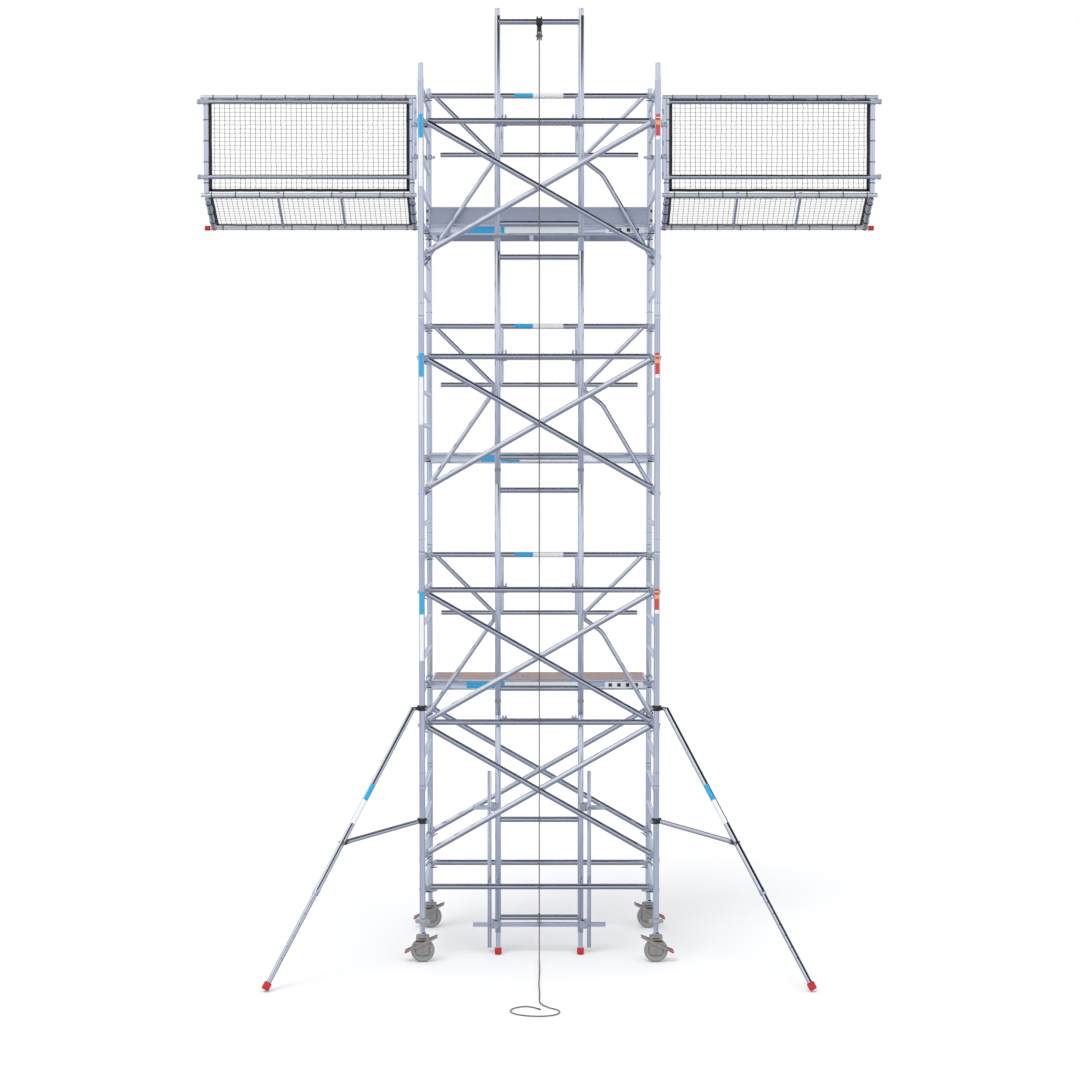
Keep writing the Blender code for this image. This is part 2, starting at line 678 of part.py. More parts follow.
def guard_flap(side, sign):
    hinge = (NEAR_Y + NET_GUARD_Y, GUARD_LOW_Z)
    lean = math.degrees(FLAP_LEAN) - 90
    shapes = [tube(flap_point(sign * 1.09, FLAP_REACH), flap_point(sign * 3.02, FLAP_REACH), 0.017)]
    for x in (GUARD_IN_X, GUARD_OUT_X):
        shapes.append(tube(flap_point(sign * x, 0.062), flap_point(sign * x, FLAP_REACH + 0.004), STILE_R))
    for x in (1.76, 2.32):
        middle = sign * x
        shapes.append(tube(flap_point(middle, 0.0235), flap_point(middle, FLAP_REACH), 0.012))
        low, high = middle - 0.015, middle + 0.015
        shapes.append(hook(hinge, "X", low, high, 0.0196, 0.028, lean - 110, lean + 110))
    solid(f"{side}_flap_frame", "aluminium", shapes)


def make_nets(side, sign):
    low_x, high_x = sign * (GUARD_IN_X + 0.027), sign * (GUARD_OUT_X - 0.027)
    half = NET_HALF_THICKNESS
    solid(f"{side}_upper_net", "net", [box(
        point(low_x, NET_GUARD_Y - half, GUARD_LOW_Z + HINGE_HOOK_ROOM),
        point(high_x, NET_GUARD_Y + half, GUARD_TOP_Z - 0.021),
    )])
    corner_reach, corner_lift = (0.045, 0.468), (0.0125, 0.0155)
    outline = []
    for reach, lift in zip((0, 1, 1, 0), (0, 0, 1, 1)):
        place = flap_point(0, corner_reach[reach], corner_lift[lift])
        outline.append((place.y, place.z))
    solid(f"{side}_flap_net", "net", [slab(outline, "X", low_x, high_x)])


def make_net_guards():
    for side, sign in sides():
        guard_frame(side, sign)
        guard_flap(side, sign)
        make_nets(side, sign)


# --- stabilisers ---
def clamp_ring(x, z):
    """A closed coupler ring that can turn round the near post."""
    centre = Vector((x, NEAR_Y, z))
    half = 0.022
    profile = [(-half, 0.028), (half, 0.028), (half, 0.038), (-half, 0.038)]
    return turned(profile, centre, centre + Vector((0, 0, 1)), SIDES, first=Vector((1, 0, 0)))


def stabiliser(side, sign):
    post = Vector((sign * POST_X, NEAR_Y, 0))
    foot = Vector((sign * STAB_FOOT.x, NEAR_Y + STAB_FOOT.y, 0))
    out = (foot - post).normalized()
    top = post + out * 0.098 + Vector((0, 0, STAB_TOP))
    cap_r = 0.033
    lean = (foot - top).normalized()
    foot.z = cap_r * math.hypot(lean.x, lean.y)
    lean = (foot - top).normalized()
    length = (foot - top).length
    joint = top + lean * (length * STAB_JOINT)
    strut_end = top + lean * (length * 0.49)
    low = post + Vector((0, 0, STAB_CLAMP_LOW))
    high = post + Vector((0, 0, STAB_TOP))
    shapes = [
        tube(top, joint, STAB_R),
        clamp_ring(post.x, STAB_TOP),
        clamp_ring(post.x, STAB_CLAMP_LOW),
        tube(high + out * 0.033, high + out * 0.115, 0.016, BAR_SIDES),
        tube(low + out * 0.033, strut_end, 0.020, BAR_SIDES),
    ]
    solid(f"{side}_stabiliser", "aluminium", shapes, [tube(top + lean * 0.20, joint + lean * 0.01, 0.0222)])
    profile = [(-0.062, 0.019), (0.0, 0.019), (0.0, cap_r), (-0.062, cap_r)]
    foot_cap = turned(profile, foot, foot + lean, 12, first=Vector((0, 0, -1)))
    solid(f"{side}_stabiliser_foot", "aluminium", [
        tube(joint - lean * 0.45, foot - lean * 0.002, 0.0206),
        foot_cap,
    ])


# --- assembly ---
clear_scene()
make_frames()
make_braces()
make_casters()
make_platforms()
for rail_number, rail_rung in enumerate(RAIL_RUNGS, 1):
    guard_rail_frame(rail_number, rail_rung)
make_ladder()
make_pulley()
make_rope()
make_carriage()
make_net_guards()
for side_name, side_sign in sides():
    stabiliser(side_name, side_sign)
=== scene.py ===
"""Looks of the mobile tower scaffold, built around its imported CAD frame.

Metres, +Z up. "left" is -X and "right" is +X; the near posts stand at NEAR_Y and the far posts at FAR_Y.
"""

import math
import random

import bmesh
import bpy
from mathutils import Matrix, Vector


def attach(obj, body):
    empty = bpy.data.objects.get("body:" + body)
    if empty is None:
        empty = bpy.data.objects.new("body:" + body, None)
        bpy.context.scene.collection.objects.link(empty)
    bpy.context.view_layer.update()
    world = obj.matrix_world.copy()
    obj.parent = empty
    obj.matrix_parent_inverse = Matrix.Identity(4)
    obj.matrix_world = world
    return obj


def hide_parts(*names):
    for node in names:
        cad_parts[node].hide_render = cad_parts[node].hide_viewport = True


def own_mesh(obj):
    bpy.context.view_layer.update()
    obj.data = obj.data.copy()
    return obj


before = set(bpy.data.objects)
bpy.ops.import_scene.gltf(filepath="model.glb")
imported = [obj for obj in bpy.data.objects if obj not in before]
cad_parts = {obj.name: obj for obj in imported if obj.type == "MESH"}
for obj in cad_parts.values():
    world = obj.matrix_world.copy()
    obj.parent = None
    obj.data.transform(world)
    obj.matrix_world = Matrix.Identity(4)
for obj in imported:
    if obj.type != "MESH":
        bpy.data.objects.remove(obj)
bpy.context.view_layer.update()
rng = random.Random(7)

# --- sizes, the same as the CAD model's ---
POST_X = 0.98
NEAR_Y = -0.35
FRAME_DEPTH = 1.295
FAR_Y = NEAR_Y + FRAME_DEPTH
POST_R = 0.0254
SPIGOT_R = 0.0225
SPIGOT_LENGTH = 0.125
RUNG_R = 0.02
RUNG_PITCH = 0.28
FIRST_RUNG = 0.22
FRAME_FEET = (0.366, 1.486, 3.446, 5.406)
FRAME_RUNGS = (4, 7, 7, 7)

HOOK_R = 0.0207  # the inside of every claw and hook that sits on a rung
CLIP_HEIGHTS = (1.596, 3.556, 5.516)
BRACE_R = 0.024
BRACE_PLANES = (0.059, 0.109, 0.175)  # first diagonal, second diagonal, level brace
BRACE_LIFT = 0.015  # a brace's axis over its rungs' axes
RAIL_LIFT = 0.01
BRACE_PAIRS = ((0.866, 1.986), (1.986, 3.106), (3.946, 5.066), (5.906, 7.026))
SILL_Z = 0.586

WHEEL_R = 0.1
WHEEL_HALF = 0.0245  # half of a wheel's width
LEG_R = 0.0205
LEG_TOP = 0.8
LEG_FOOT = 0.2335

DECK_RUNGS = (2.266, 4.226, 6.186)
DECK_NEAR = 0.65
DECK_FAR = 1.25
DECK_X = 0.935
HATCH = (-0.745, -0.1, 0.705, 1.195)
RAIL_RUNGS = (3.386, 5.346, 7.306)
RAIL_Y = 0.6
RAIL_R = 0.0225
KNEE_DROP = 0.5  # from the top tube to the knee bar
STRUT_DROP = 1.4  # from the rungs of the top tube to the rungs of the struts

LADDER_Y = 0.27
STILE_X = 0.351
STILE_R = 0.025
LADDER_RUNG_R = 0.023
LADDER_JOINTS = (0.19, 2.05, 4.01, 5.97, 7.93)
LADDER_RUNGS = (0.318, 1.158, 1.998, 2.278, 3.118, 3.958, 4.238, 5.078, 5.918, 6.198, 7.038, 7.878)
COUPLER_Z = (1.986, 3.106, 5.066, 7.026)
COUPLER_X = 0.295

SHEAVE_Z = 7.762
ROPE_R = 0.005
ROPE_BEND_R = 0.027
WRAP_DEGREES = 163.2  # the rope's way over the sheave
WRAP_STEPS = 8
LOAD_Y = LADDER_Y + 0.08
CARRIAGE_Z = 0.238  # the middle of its cross bar

GUARD_IN_X = 1.13
GUARD_OUT_X = 2.95
GUARD_TOP_Z = 7.416
GUARD_LOW_Z = 6.555
GUARD_BAR_R = 0.019
GUARD_RAIL_HEIGHTS = (7.37, 6.71)
GUARD_CLAMP_HEIGHTS = (6.886, 7.166)
GUARD_RAIL_Y = FRAME_DEPTH - 0.04
GUARD_MOUNT_Y = GUARD_RAIL_Y - 0.006
NET_INNER_X = GUARD_IN_X + 0.027
NET_WIDTH = GUARD_OUT_X - 0.027 - NET_INNER_X
NET_MESH = (0.045, 0.0365)  # width and height of one mesh
NET_CORD_R = 0.0011
NET_UPRIGHT_R = 0.0016
NET_EDGE = 0.0125  # half of the webbing's width
FLAP_REACH = 0.489
FLAP_LEAN = math.radians(59.2)

STAB_TOP = 2.142
STAB_FOOT = (2.18, -1.0)
STAB_CLAMP_LOW = 1.193
STAB_JOINT = 0.673
STAB_R = 0.024

CLIP_R = 0.0285  # the ring of a frame joint's spring clip
SIDES = (("left", -1), ("right", 1))
RIGHT, BACK, UP = Vector((1, 0, 0)), Vector((0, 1, 0)), Vector((0, 0, 1))


def point(x, y, z):
    """A point given by its distance behind the near posts."""
    return Vector((x, NEAR_Y + y, z))


def points_of(sign):
    """The same as point, with x counted outwards on one side."""
    return lambda x, y, z: point(sign * x, y, z)


# --- camera, light and floor ---
def make_camera():
    data = bpy.data.cameras.new("camera")
    data.lens = 71.9
    data.sensor_width = 36.0
    data.clip_end = 200.0
    camera = bpy.data.objects.new("camera", data)
    camera.location = (0.006, -18.31, 4.339)
    camera.rotation_euler = (math.radians(87.48), 0.0, 0.0)
    bpy.context.scene.collection.objects.link(camera)
    bpy.context.scene.camera = camera


def make_sun(name, place, aim, energy, degrees):
    data = bpy.data.lights.new(name, "SUN")
    data.energy = energy
    data.angle = math.radians(degrees)
    light = bpy.data.objects.new(name, data)
    light.location = place
    light.rotation_euler = (Vector(aim) - Vector(place)).to_track_quat("-Z", "Y").to_euler()
    light.visible_glossy = False
    bpy.context.scene.collection.objects.link(light)


def node(tree, kind, inputs=(), **settings):
    """Adds a node; inputs are (socket, value or linked socket) pairs."""
    made = tree.nodes.new(kind)
    for key, value in settings.items():
        setattr(made, key, value)
    for socket, value in inputs:
        if isinstance(value, bpy.types.NodeSocket):
            tree.links.new(value, made.inputs[socket])
        else:
            made.inputs[socket].default_value = value
    return made


def ramp(tree, factor, stops):
    """A colour ramp; stops are (place, grey or colour) pairs."""
    made = node(tree, "ShaderNodeValToRGB", [("Fac", factor)])
    elements = made.color_ramp.elements
    while len(elements) < len(stops):
        elements.new(0.5)
    for element, (place, value) in zip(elements, stops):
        element.position = place
        element.color = (*value, 1.0) if isinstance(value, tuple) else (value, value, value, 1.0)
    return made.outputs["Color"]


def make_world():
    """White behind the object; soft daylight on it; banded studio surroundings in its reflections."""
    world = bpy.data.worlds.new("studio")
    world.use_nodes = True
    tree = world.node_tree
    tree.nodes.clear()
    way = node(tree, "ShaderNodeTexCoord").outputs["Generated"]
    parts = node(tree, "ShaderNodeSeparateXYZ", [("Vector", way)])
    height = node(tree, "ShaderNodeMapRange", [("Value", parts.outputs["Z"]), ("From Min", -1.0)])
    bands = ramp(tree, height.outputs["Result"], (
        (0.0, (0.18, 0.2, 0.26)), (0.15, (0.27, 0.3, 0.38)), (0.3, (0.38, 0.42, 0.53)),
        (0.4, (0.5, 0.55, 0.66)), (0.5, (0.62, 0.67, 0.78)), (0.58, (0.76, 0.8, 0.9)),
        (0.65, (0.8, 0.84, 0.92)), (0.69, (0.5, 0.54, 0.63)), (0.74, (0.07, 0.08, 0.1)),
        (0.82, (0.015, 0.018, 0.025)), (1.0, (0.006, 0.007, 0.01)),
    ))
    aside = node(tree, "ShaderNodeMath", [(0, parts.outputs["X"])], operation="ABSOLUTE")
    flanks = ramp(tree, aside.outputs[0], (
        (0.0, 0.84), (0.18, 0.86), (0.42, 0.96), (0.7, 1.0), (1.0, 0.8),
    ))
    mixed = node(tree, "ShaderNodeMix", [(0, 1.0), (6, bands), (7, flanks)],
                 data_type="RGBA", blend_type="MULTIPLY")
    left = ramp(tree, node(tree, "ShaderNodeMapRange", [
        ("Value", parts.outputs["X"]), ("From Min", -1.0),
    ]).outputs["Result"], ((0.05, 0.5), (0.2, 0.95), (0.42, 0.95), (0.47, 0.0)))
    raised = ramp(tree, parts.outputs["Z"], ((0.22, 0.0), (0.34, 1.0), (0.85, 1.0), (0.95, 0.3)))
    softbox = node(tree, "ShaderNodeMix", [(0, 1.0), (6, left), (7, raised)],
                   data_type="RGBA", blend_type="MULTIPLY")
    lit = node(tree, "ShaderNodeMix", [(0, 1.0), (6, mixed.outputs[2]), (7, softbox.outputs[2])],
               data_type="RGBA", blend_type="LIGHTEN")
    mirrored = node(tree, "ShaderNodeBackground", [("Color", lit.outputs[2]), ("Strength", 1.06)])
    daylight = node(tree, "ShaderNodeBackground", [("Color", (0.98, 0.985, 1.0, 1.0)), ("Strength", 0.8)])
    backdrop = node(tree, "ShaderNodeBackground", [("Color", (1.0, 1.0, 1.0, 1.0)), ("Strength", 1.0)])
    rays = node(tree, "ShaderNodeLightPath")
    inner = node(tree, "ShaderNodeMixShader", [
        (0, rays.outputs["Is Glossy Ray"]), (1, daylight.outputs[0]), (2, mirrored.outputs[0]),
    ])
    outer = node(tree, "ShaderNodeMixShader", [
        (0, rays.outputs["Is Camera Ray"]), (1, inner.outputs[0]), (2, backdrop.outputs[0]),
    ])
    node(tree, "ShaderNodeOutputWorld", [("Surface", outer.outputs[0])])
    bpy.context.scene.world = world


def make_floor():
    mesh = bpy.data.meshes.new("floor")
    half = 60.0
    mesh.from_pydata([(-half, -half, 0), (half, -half, 0), (half, half, 0), (-half, half, 0)], [],
                     [(0, 1, 2, 3)])
    floor = bpy.data.objects.new("floor", mesh)
    floor.location.z = -0.0005
    bpy.context.scene.collection.objects.link(floor)
    material = bpy.data.materials.new("floor")
    material.use_nodes = True
    shader = material.node_tree.nodes["Principled BSDF"]
    shader.inputs["Base Color"].default_value = (0.93, 0.93, 0.935, 1.0)
    shader.inputs["Roughness"].default_value = 0.9
    shader.inputs["Specular IOR Level"].default_value = 0.0
    mesh.materials.append(material)
    floor.visible_glossy = False


def make_stage():
    bpy.context.scene.view_settings.view_transform = "Standard"
    make_camera()
    make_world()
    make_floor()
    make_sun("key", (-4.0, -7.0, 12.0), (0.0, 0.0, 0.0), 1.1, 35)
    make_sun("fill", (5.0, -6.0, 9.0), (0.0, 0.0, 3.0), 0.5, 60)


# --- materials ---
def new_material(name):
    material = bpy.data.materials.new(name)
    material.use_nodes = True
    material.node_tree.nodes["Principled BSDF"].name = "shader"
    return material, material.node_tree, material.node_tree.nodes["shader"]


def metres(tree, scale):
    """The piece's UV map, in metres, stretched by a scale."""
    source = node(tree, "ShaderNodeUVMap", uv_map="metres").outputs[0]
    return node(tree, "ShaderNodeMapping", [("Vector", source), ("Scale", scale)]).outputs[0]


def solid_space(tree, scale=(1.0, 1.0, 1.0)):
    """The piece's own space, in metres, stretched by a scale."""
    source = node(tree, "ShaderNodeTexCoord").outputs["Object"]
    return node(tree, "ShaderNodeMapping", [("Vector", source), ("Scale", scale)]).outputs[0]


def noise(tree, vector, scale, detail=3.0, roughness=0.5):
    return node(tree, "ShaderNodeTexNoise", [
        ("Vector", vector), ("Scale", scale), ("Detail", detail), ("Roughness", roughness),
    ]).outputs[0]


def remap(tree, value, low, high, from_low=0.3, from_high=0.7):
    return node(tree, "ShaderNodeMapRange", [
        ("Value", value), ("From Min", from_low), ("From Max", from_high), ("To Min", low), ("To Max", high),
    ]).outputs[0]


def tint(tree, factor, first, second):
    """A colour between two, by a factor."""
    return node(tree, "ShaderNodeMix", [(0, factor), (6, (*first, 1.0)), (7, (*second, 1.0))],
                data_type="RGBA").outputs[2]


def combine(tree, first, second, operation="ADD"):
    return node(tree, "ShaderNodeMath", [(0, first), (1, second)], operation=operation).outputs[0]


def bump(tree, shader, height, strength, distance):
    made = node(tree, "ShaderNodeBump", [("Height", height), ("Strength", strength), ("Distance", distance)])
    tree.links.new(made.outputs[0], shader.inputs["Normal"])


def drawn_metal(name, dark, light, smooth_rough=(0.12, 0.22)):
    """Drawn tube or extrusion: fine streaks along its length, handling scuffs and faint blotches."""
    material, tree, shader = new_material(name)
    streaks = noise(tree, metres(tree, (420.0, 3.0, 1.0)), 1.0, 4.0, 0.6)
    lines = noise(tree, metres(tree, (90.0, 0.8, 1.0)), 1.0, 2.0)
    blotches = noise(tree, solid_space(tree), 6.0, 5.0, 0.6)
    scuffs = noise(tree, solid_space(tree), 55.0, 6.0, 0.7)
    shader.inputs["Metallic"].default_value = 1.0
    shade = combine(tree, remap(tree, blotches, 0.15, 0.4), remap(tree, lines, 0.0, 0.45))
    tree.links.new(tint(tree, shade, dark, light), shader.inputs["Base Color"])
    rough = combine(tree, remap(tree, streaks, *smooth_rough), remap(tree, scuffs, 0.0, 0.06, 0.6, 0.78))
    tree.links.new(rough, shader.inputs["Roughness"])
    bump(tree, shader, streaks, 0.05, 0.0003)
    return material


def cast_metal(name, dark, light, metallic, rough, grain=700.0, depth=0.25):
    """Cast, galvanised or coated metal, also a paler tube finish that carries a painted highlight: fine
    grain with worn blotches.
    """
    material, tree, shader = new_material(name)
    fine = noise(tree, solid_space(tree), grain, 3.0)
    wear = noise(tree, solid_space(tree), 40.0, 6.0, 0.65)
    shader.inputs["Metallic"].default_value = metallic
    tree.links.new(tint(tree, remap(tree, wear, 0.0, 1.0), dark, light), shader.inputs["Base Color"])
    tree.links.new(remap(tree, wear, rough + 0.1, rough - 0.06), shader.inputs["Roughness"])
    bump(tree, shader, fine, depth, 0.0006)
    return material


def moulded(name, dark, light, rough, grain=350.0, depth=0.2):
    """Rubber or moulded plastic: pebbled surface, dusty where it is rubbed."""
    material, tree, shader = new_material(name)
    pebbles = noise(tree, solid_space(tree), grain, 2.0)
    dust = noise(tree, solid_space(tree), 30.0, 5.0, 0.6)
    tree.links.new(tint(tree, remap(tree, dust, 0.0, 1.0), dark, light), shader.inputs["Base Color"])
    tree.links.new(remap(tree, dust, rough - 0.06, rough + 0.08), shader.inputs["Roughness"])
    bump(tree, shader, pebbles, depth, 0.0005)
    return material


def printed_film(name, colour):
    """A glossy sticker, slightly uneven where it bridges the metal's streaks."""
    material, tree, shader = new_material(name)
    wave = noise(tree, solid_space(tree), 60.0, 3.0)
    fade = tuple(0.86 * c + 0.05 for c in colour)
    tree.links.new(tint(tree, remap(tree, wave, 0.0, 1.0), colour, fade), shader.inputs["Base Color"])
    tree.links.new(remap(tree, wave, 0.28, 0.42), shader.inputs["Roughness"])
    bump(tree, shader, wave, 0.05, 0.0006)
    return material


def deck_film(name):
    """Phenolic-faced plywood: long grain under a film with a fine anti-slip mesh."""
    material, tree, shader = new_material(name)
    grain = noise(tree, solid_space(tree, (2.0, 60.0, 60.0)), 1.0, 6.0, 0.6)
    wear = noise(tree, solid_space(tree), 7.0, 6.0, 0.65)
    mesh = node(tree, "ShaderNodeTexVoronoi", [("Vector", solid_space(tree)), ("Scale", 230.0)],
                feature="DISTANCE_TO_EDGE").outputs["Distance"]
    shade = combine(tree, remap(tree, grain, 0.0, 0.6), remap(tree, wear, 0.0, 0.4))
    tree.links.new(tint(tree, shade, (0.36, 0.235, 0.2), (0.58, 0.43, 0.385)), shader.inputs["Base Color"])
    tree.links.new(remap(tree, wear, 0.42, 0.62), shader.inputs["Roughness"])
    bump(tree, shader, remap(tree, mesh, 0.0, 1.0, 0.0, 0.12), 0.25, 0.0006)
    return material


def woven(name, dark, light, scale):
    """Webbing: a plain weave with fibre fuzz."""
    material, tree, shader = new_material(name)
    across = node(tree, "ShaderNodeTexWave", [("Vector", metres(tree, (scale, scale, 1.0))), ("Scale", 1.0)],
                  bands_direction="X").outputs["Fac"]
    along = node(tree, "ShaderNodeTexWave", [("Vector", metres(tree, (scale, scale, 1.0))), ("Scale", 1.0)],
                 bands_direction="Y").outputs["Fac"]
    weave = combine(tree, across, along, "MULTIPLY")
    fuzz = noise(tree, solid_space(tree), 500.0, 3.0)
    tree.links.new(tint(tree, combine(tree, weave, fuzz, "MULTIPLY"), dark, light),
                   shader.inputs["Base Color"])
    shader.inputs["Roughness"].default_value = 0.85
    shader.inputs["Sheen Weight"].default_value = 0.3
    bump(tree, shader, weave, 0.5, 0.0008)
    return material


def fibres(name, dark, light, fine=900.0):
    """Laid or braided cord: yarns along the strands, with soiling."""
    material, tree, shader = new_material(name)
    yarns = noise(tree, metres(tree, (fine, 40.0, 1.0)), 1.0, 3.0)
    soil = noise(tree, solid_space(tree), 22.0, 5.0, 0.6)
    shade = combine(tree, remap(tree, yarns, 0.0, 0.6), remap(tree, soil, 0.0, 0.4))
    tree.links.new(tint(tree, shade, dark, light), shader.inputs["Base Color"])
    shader.inputs["Roughness"].default_value = 0.9
    shader.inputs["Sheen Weight"].default_value = 0.2
    bump(tree, shader, yarns, 0.5, 0.0005)
    return material


ALUMINIUM = drawn_metal("drawn_aluminium", (0.7, 0.725, 0.79), (0.86, 0.88, 0.93))
CAST = cast_metal("cast_aluminium", (0.55, 0.58, 0.65), (0.68, 0.71, 0.78), 0.9, 0.36)
# A paler, less metallic copy of the tube finish, a painted highlight: the guard's level bars and the flap's
# lower bar get it so that they look whiter than the other tubes.
PAINTED_HIGHLIGHT_TUBE = cast_metal("tube_with_painted_highlight", (0.84, 0.86, 0.9), (0.92, 0.94, 0.97), 0.72, 0.2, 500.0, 0.02)
STEEL = cast_metal("zinc_steel", (0.52, 0.53, 0.54), (0.72, 0.73, 0.74), 1.0, 0.28, 300.0, 0.1)
# Black coating; the same material also paints the shade inside the stabiliser's pin holes.
BLACK = cast_metal("black_coating_and_hole_shade", (0.012, 0.012, 0.014), (0.035, 0.035, 0.038), 0.0, 0.42, 500.0, 0.2)
CASTER = cast_metal("galvanised_caster", (0.265, 0.245, 0.232), (0.305, 0.285, 0.27), 0.2, 0.45, 260.0, 0.1)
NUT = cast_metal("nut_casting", (0.36, 0.38, 0.38), (0.46, 0.48, 0.48), 0.4, 0.45)
GREY_FILM = moulded("grey_deck_underside", (0.285, 0.32, 0.415), (0.31, 0.345, 0.44), 0.5, 500.0, 0.03)
TYRE = moulded("grey_tyre", (0.21, 0.216, 0.216), (0.28, 0.288, 0.288), 0.66)
HUB = moulded("grey_hub", (0.33, 0.335, 0.335), (0.42, 0.42, 0.42), 0.45, 200.0, 0.1)
RED = moulded("red_rubber", (0.44, 0.008, 0.012), (0.58, 0.02, 0.022), 0.42)
OLIVE = moulded("olive_button", (0.3, 0.26, 0.05), (0.42, 0.36, 0.08), 0.45)
DECK = deck_film("deck_film")
ROPE = fibres("laid_rope", (0.085, 0.055, 0.035), (0.21, 0.145, 0.095))
NET = fibres("net_cord", (0.01, 0.01, 0.011), (0.035, 0.035, 0.037))
WEBBING = woven("black_webbing", (0.012, 0.012, 0.014), (0.06, 0.06, 0.065), 1600.0)
CYAN = printed_film("cyan_film", (0.0, 0.36, 0.68))
WHITE = printed_film("white_film", (0.8, 0.82, 0.84))
RED_FILM = printed_film("red_film", (0.6, 0.035, 0.03))
ORANGE = printed_film("orange_film", (0.85, 0.36, 0.05))


# --- mesh building ---
def axes_for(along):
    """Two unit vectors that make a right-handed frame with a direction."""
    guide = UP if abs(along.z) < 0.95 else BACK
    side = guide.cross(along).normalized()
    return side, along.cross(side)


def placed(origin, x_way, y_way):
    """A matrix that puts local X and Y along two directions at an origin."""
    x_way = Vector(x_way).normalized()
    z_way = x_way.cross(Vector(y_way)).normalized()
    y_way = z_way.cross(x_way)
    turn = Matrix((x_way, y_way, z_way)).transposed().to_4x4()
    return Matrix.Translation(Vector(origin)) @ turn


class Shape:
    """Vertices and faces of one piece, with a UV map in metres: u round a bar and v along it."""

    def __init__(self):
        self.points = []
        self.faces = []
        self.uvs = []
        self.paints = []
        self.paint = 0

    def face(self, corners, uvs):
        self.faces.append(corners)
        self.uvs.extend(uvs)
        self.paints.append(self.paint)

    def skin(self, rings, around, along, caps=True, loop=False):
        """Quads between closed rings of points, capped at both ends or joined end to end."""
        base = len(self.points)
        count = len(rings[0])
        for ring in rings:
            self.points.extend(tuple(p) for p in ring)
        spans = len(rings) if loop else len(rings) - 1
        for i in range(spans):
            after = (i + 1) % len(rings)
            for j in range(count):
                k = (j + 1) % count
                self.face(
                    (base + i * count + j, base + i * count + k, base + after * count + k,
                     base + after * count + j),
                    ((around[j], along[i]), (around[j + 1], along[i]),
                     (around[j + 1], along[i + 1]), (around[j], along[i + 1])),
                )
        if caps and not loop:
            flat = [(0.0, 0.0)] * count
            self.face(tuple(base + j for j in reversed(range(count))), flat)
            last = base + (len(rings) - 1) * count
            self.face(tuple(last + j for j in range(count)), flat)

    def lathe(self, start, end, profile, sides=24, flutes=0.0):
        """Turns (distance, radius) pairs round a line. Flutes pinch every other corner."""
        start = Vector(start)
        along = (Vector(end) - start).normalized()
        side, up = axes_for(along)
        ways = []
        for j in range(sides):
            angle = 2 * math.pi * (j + 0.5) / sides
            pinch = 1.0 - flutes * (j % 2)
            ways.append((side * math.cos(angle) + up * math.sin(angle)) * pinch)
        rings = [[start + along * s + way * r for way in ways] for s, r in profile]
        widest = max(r for _, r in profile)
        around = [2 * math.pi * widest * j / sides for j in range(sides + 1)]
        travelled = [0.0]
        for (s, r), (t, q) in zip(profile, profile[1:]):
            travelled.append(travelled[-1] + math.hypot(t - s, q - r))
        self.skin(rings, around, travelled)

    def bar(self, start, end, radius, hollow=0.0, sides=24, flutes=0.0, bevel=0.001):
        """A round bar with softened ends, bored at both ends when hollow gives its wall."""
        length = (Vector(end) - Vector(start)).length
        profile = [(0.0, radius - bevel), (bevel, radius), (length - bevel, radius),
                   (length, radius - bevel)]
        if hollow:
            depth = min(0.05, length / 3)
            bore = radius - hollow
            profile = [(depth, bore), (0.0, bore)] + profile + [(length, bore), (length - depth, bore)]
        self.lathe(start, end, profile, sides, flutes)

    def sweep(self, points, radius, sides=16, loop=False, section=None):
        """A bar along a bent route, turned as little as possible; section gives (side, up) pairs instead."""
        points = [Vector(p) for p in points]
        count = len(points)
        ways = []
        for i in range(count):
            before = points[i - 1] if (loop or i) else points[0]
            after = points[(i + 1) % count] if (loop or i < count - 1) else points[-1]
            ways.append((after - before).normalized())
        side, up = axes_for(ways[0])
        if section is None:
            angles = [2 * math.pi * (j + 0.5) / sides for j in range(sides)]
            section = [(radius * math.cos(a), radius * math.sin(a)) for a in angles]
        rings, along = [], [0.0]
        for i, (place, way) in enumerate(zip(points, ways)):
            if i:
                turn = ways[i - 1].rotation_difference(way)
                side = turn @ side
                up = turn @ up
                along.append(along[-1] + (place - points[i - 1]).length)
            rings.append([place + side * a + up * b for a, b in section])
        if loop:
            along.append(along[-1] + (points[0] - points[-1]).length)
        around = [0.0]
        for (a, b), (c, d) in zip(section, section[1:] + section[:1]):
            around.append(around[-1] + math.hypot(c - a, d - b))
        self.skin(rings, around, along, loop=loop)

    def absorb(self, bm, place=None):
        """Takes in a bmesh, its UVs laid on from the nearest axis."""
        if place is not None:
            bmesh.ops.transform(bm, matrix=place, verts=bm.verts)
        bm.verts.index_update()
        bm.normal_update()
        base = len(self.points)
        self.points.extend(tuple(v.co) for v in bm.verts)
        for face in bm.faces:
            n = face.normal
            strongest = max(range(3), key=lambda i: abs(n[i]))
            u, v = ((2, 1), (2, 0), (1, 0))[strongest]
            corners = face.verts
            self.face(tuple(base + c.index for c in corners), [(c.co[u], c.co[v]) for c in corners])
        bm.free()

    def block(self, low, high, bevel=0.001, place=None):
        """A box between two corners, its edges softened."""
        low, high = Vector(low), Vector(high)
        size = [abs(a - b) for a, b in zip(low, high)]
        bm = bmesh.new()
        bmesh.ops.create_cube(bm, size=1.0,
                              matrix=Matrix.Translation((low + high) / 2) @ Matrix.Diagonal((*size, 1)))
        if bevel:
            bmesh.ops.bevel(bm, geom=bm.edges[:], offset=min(bevel, min(size) / 3), segments=1,
                            affect="EDGES")
        self.absorb(bm, place)

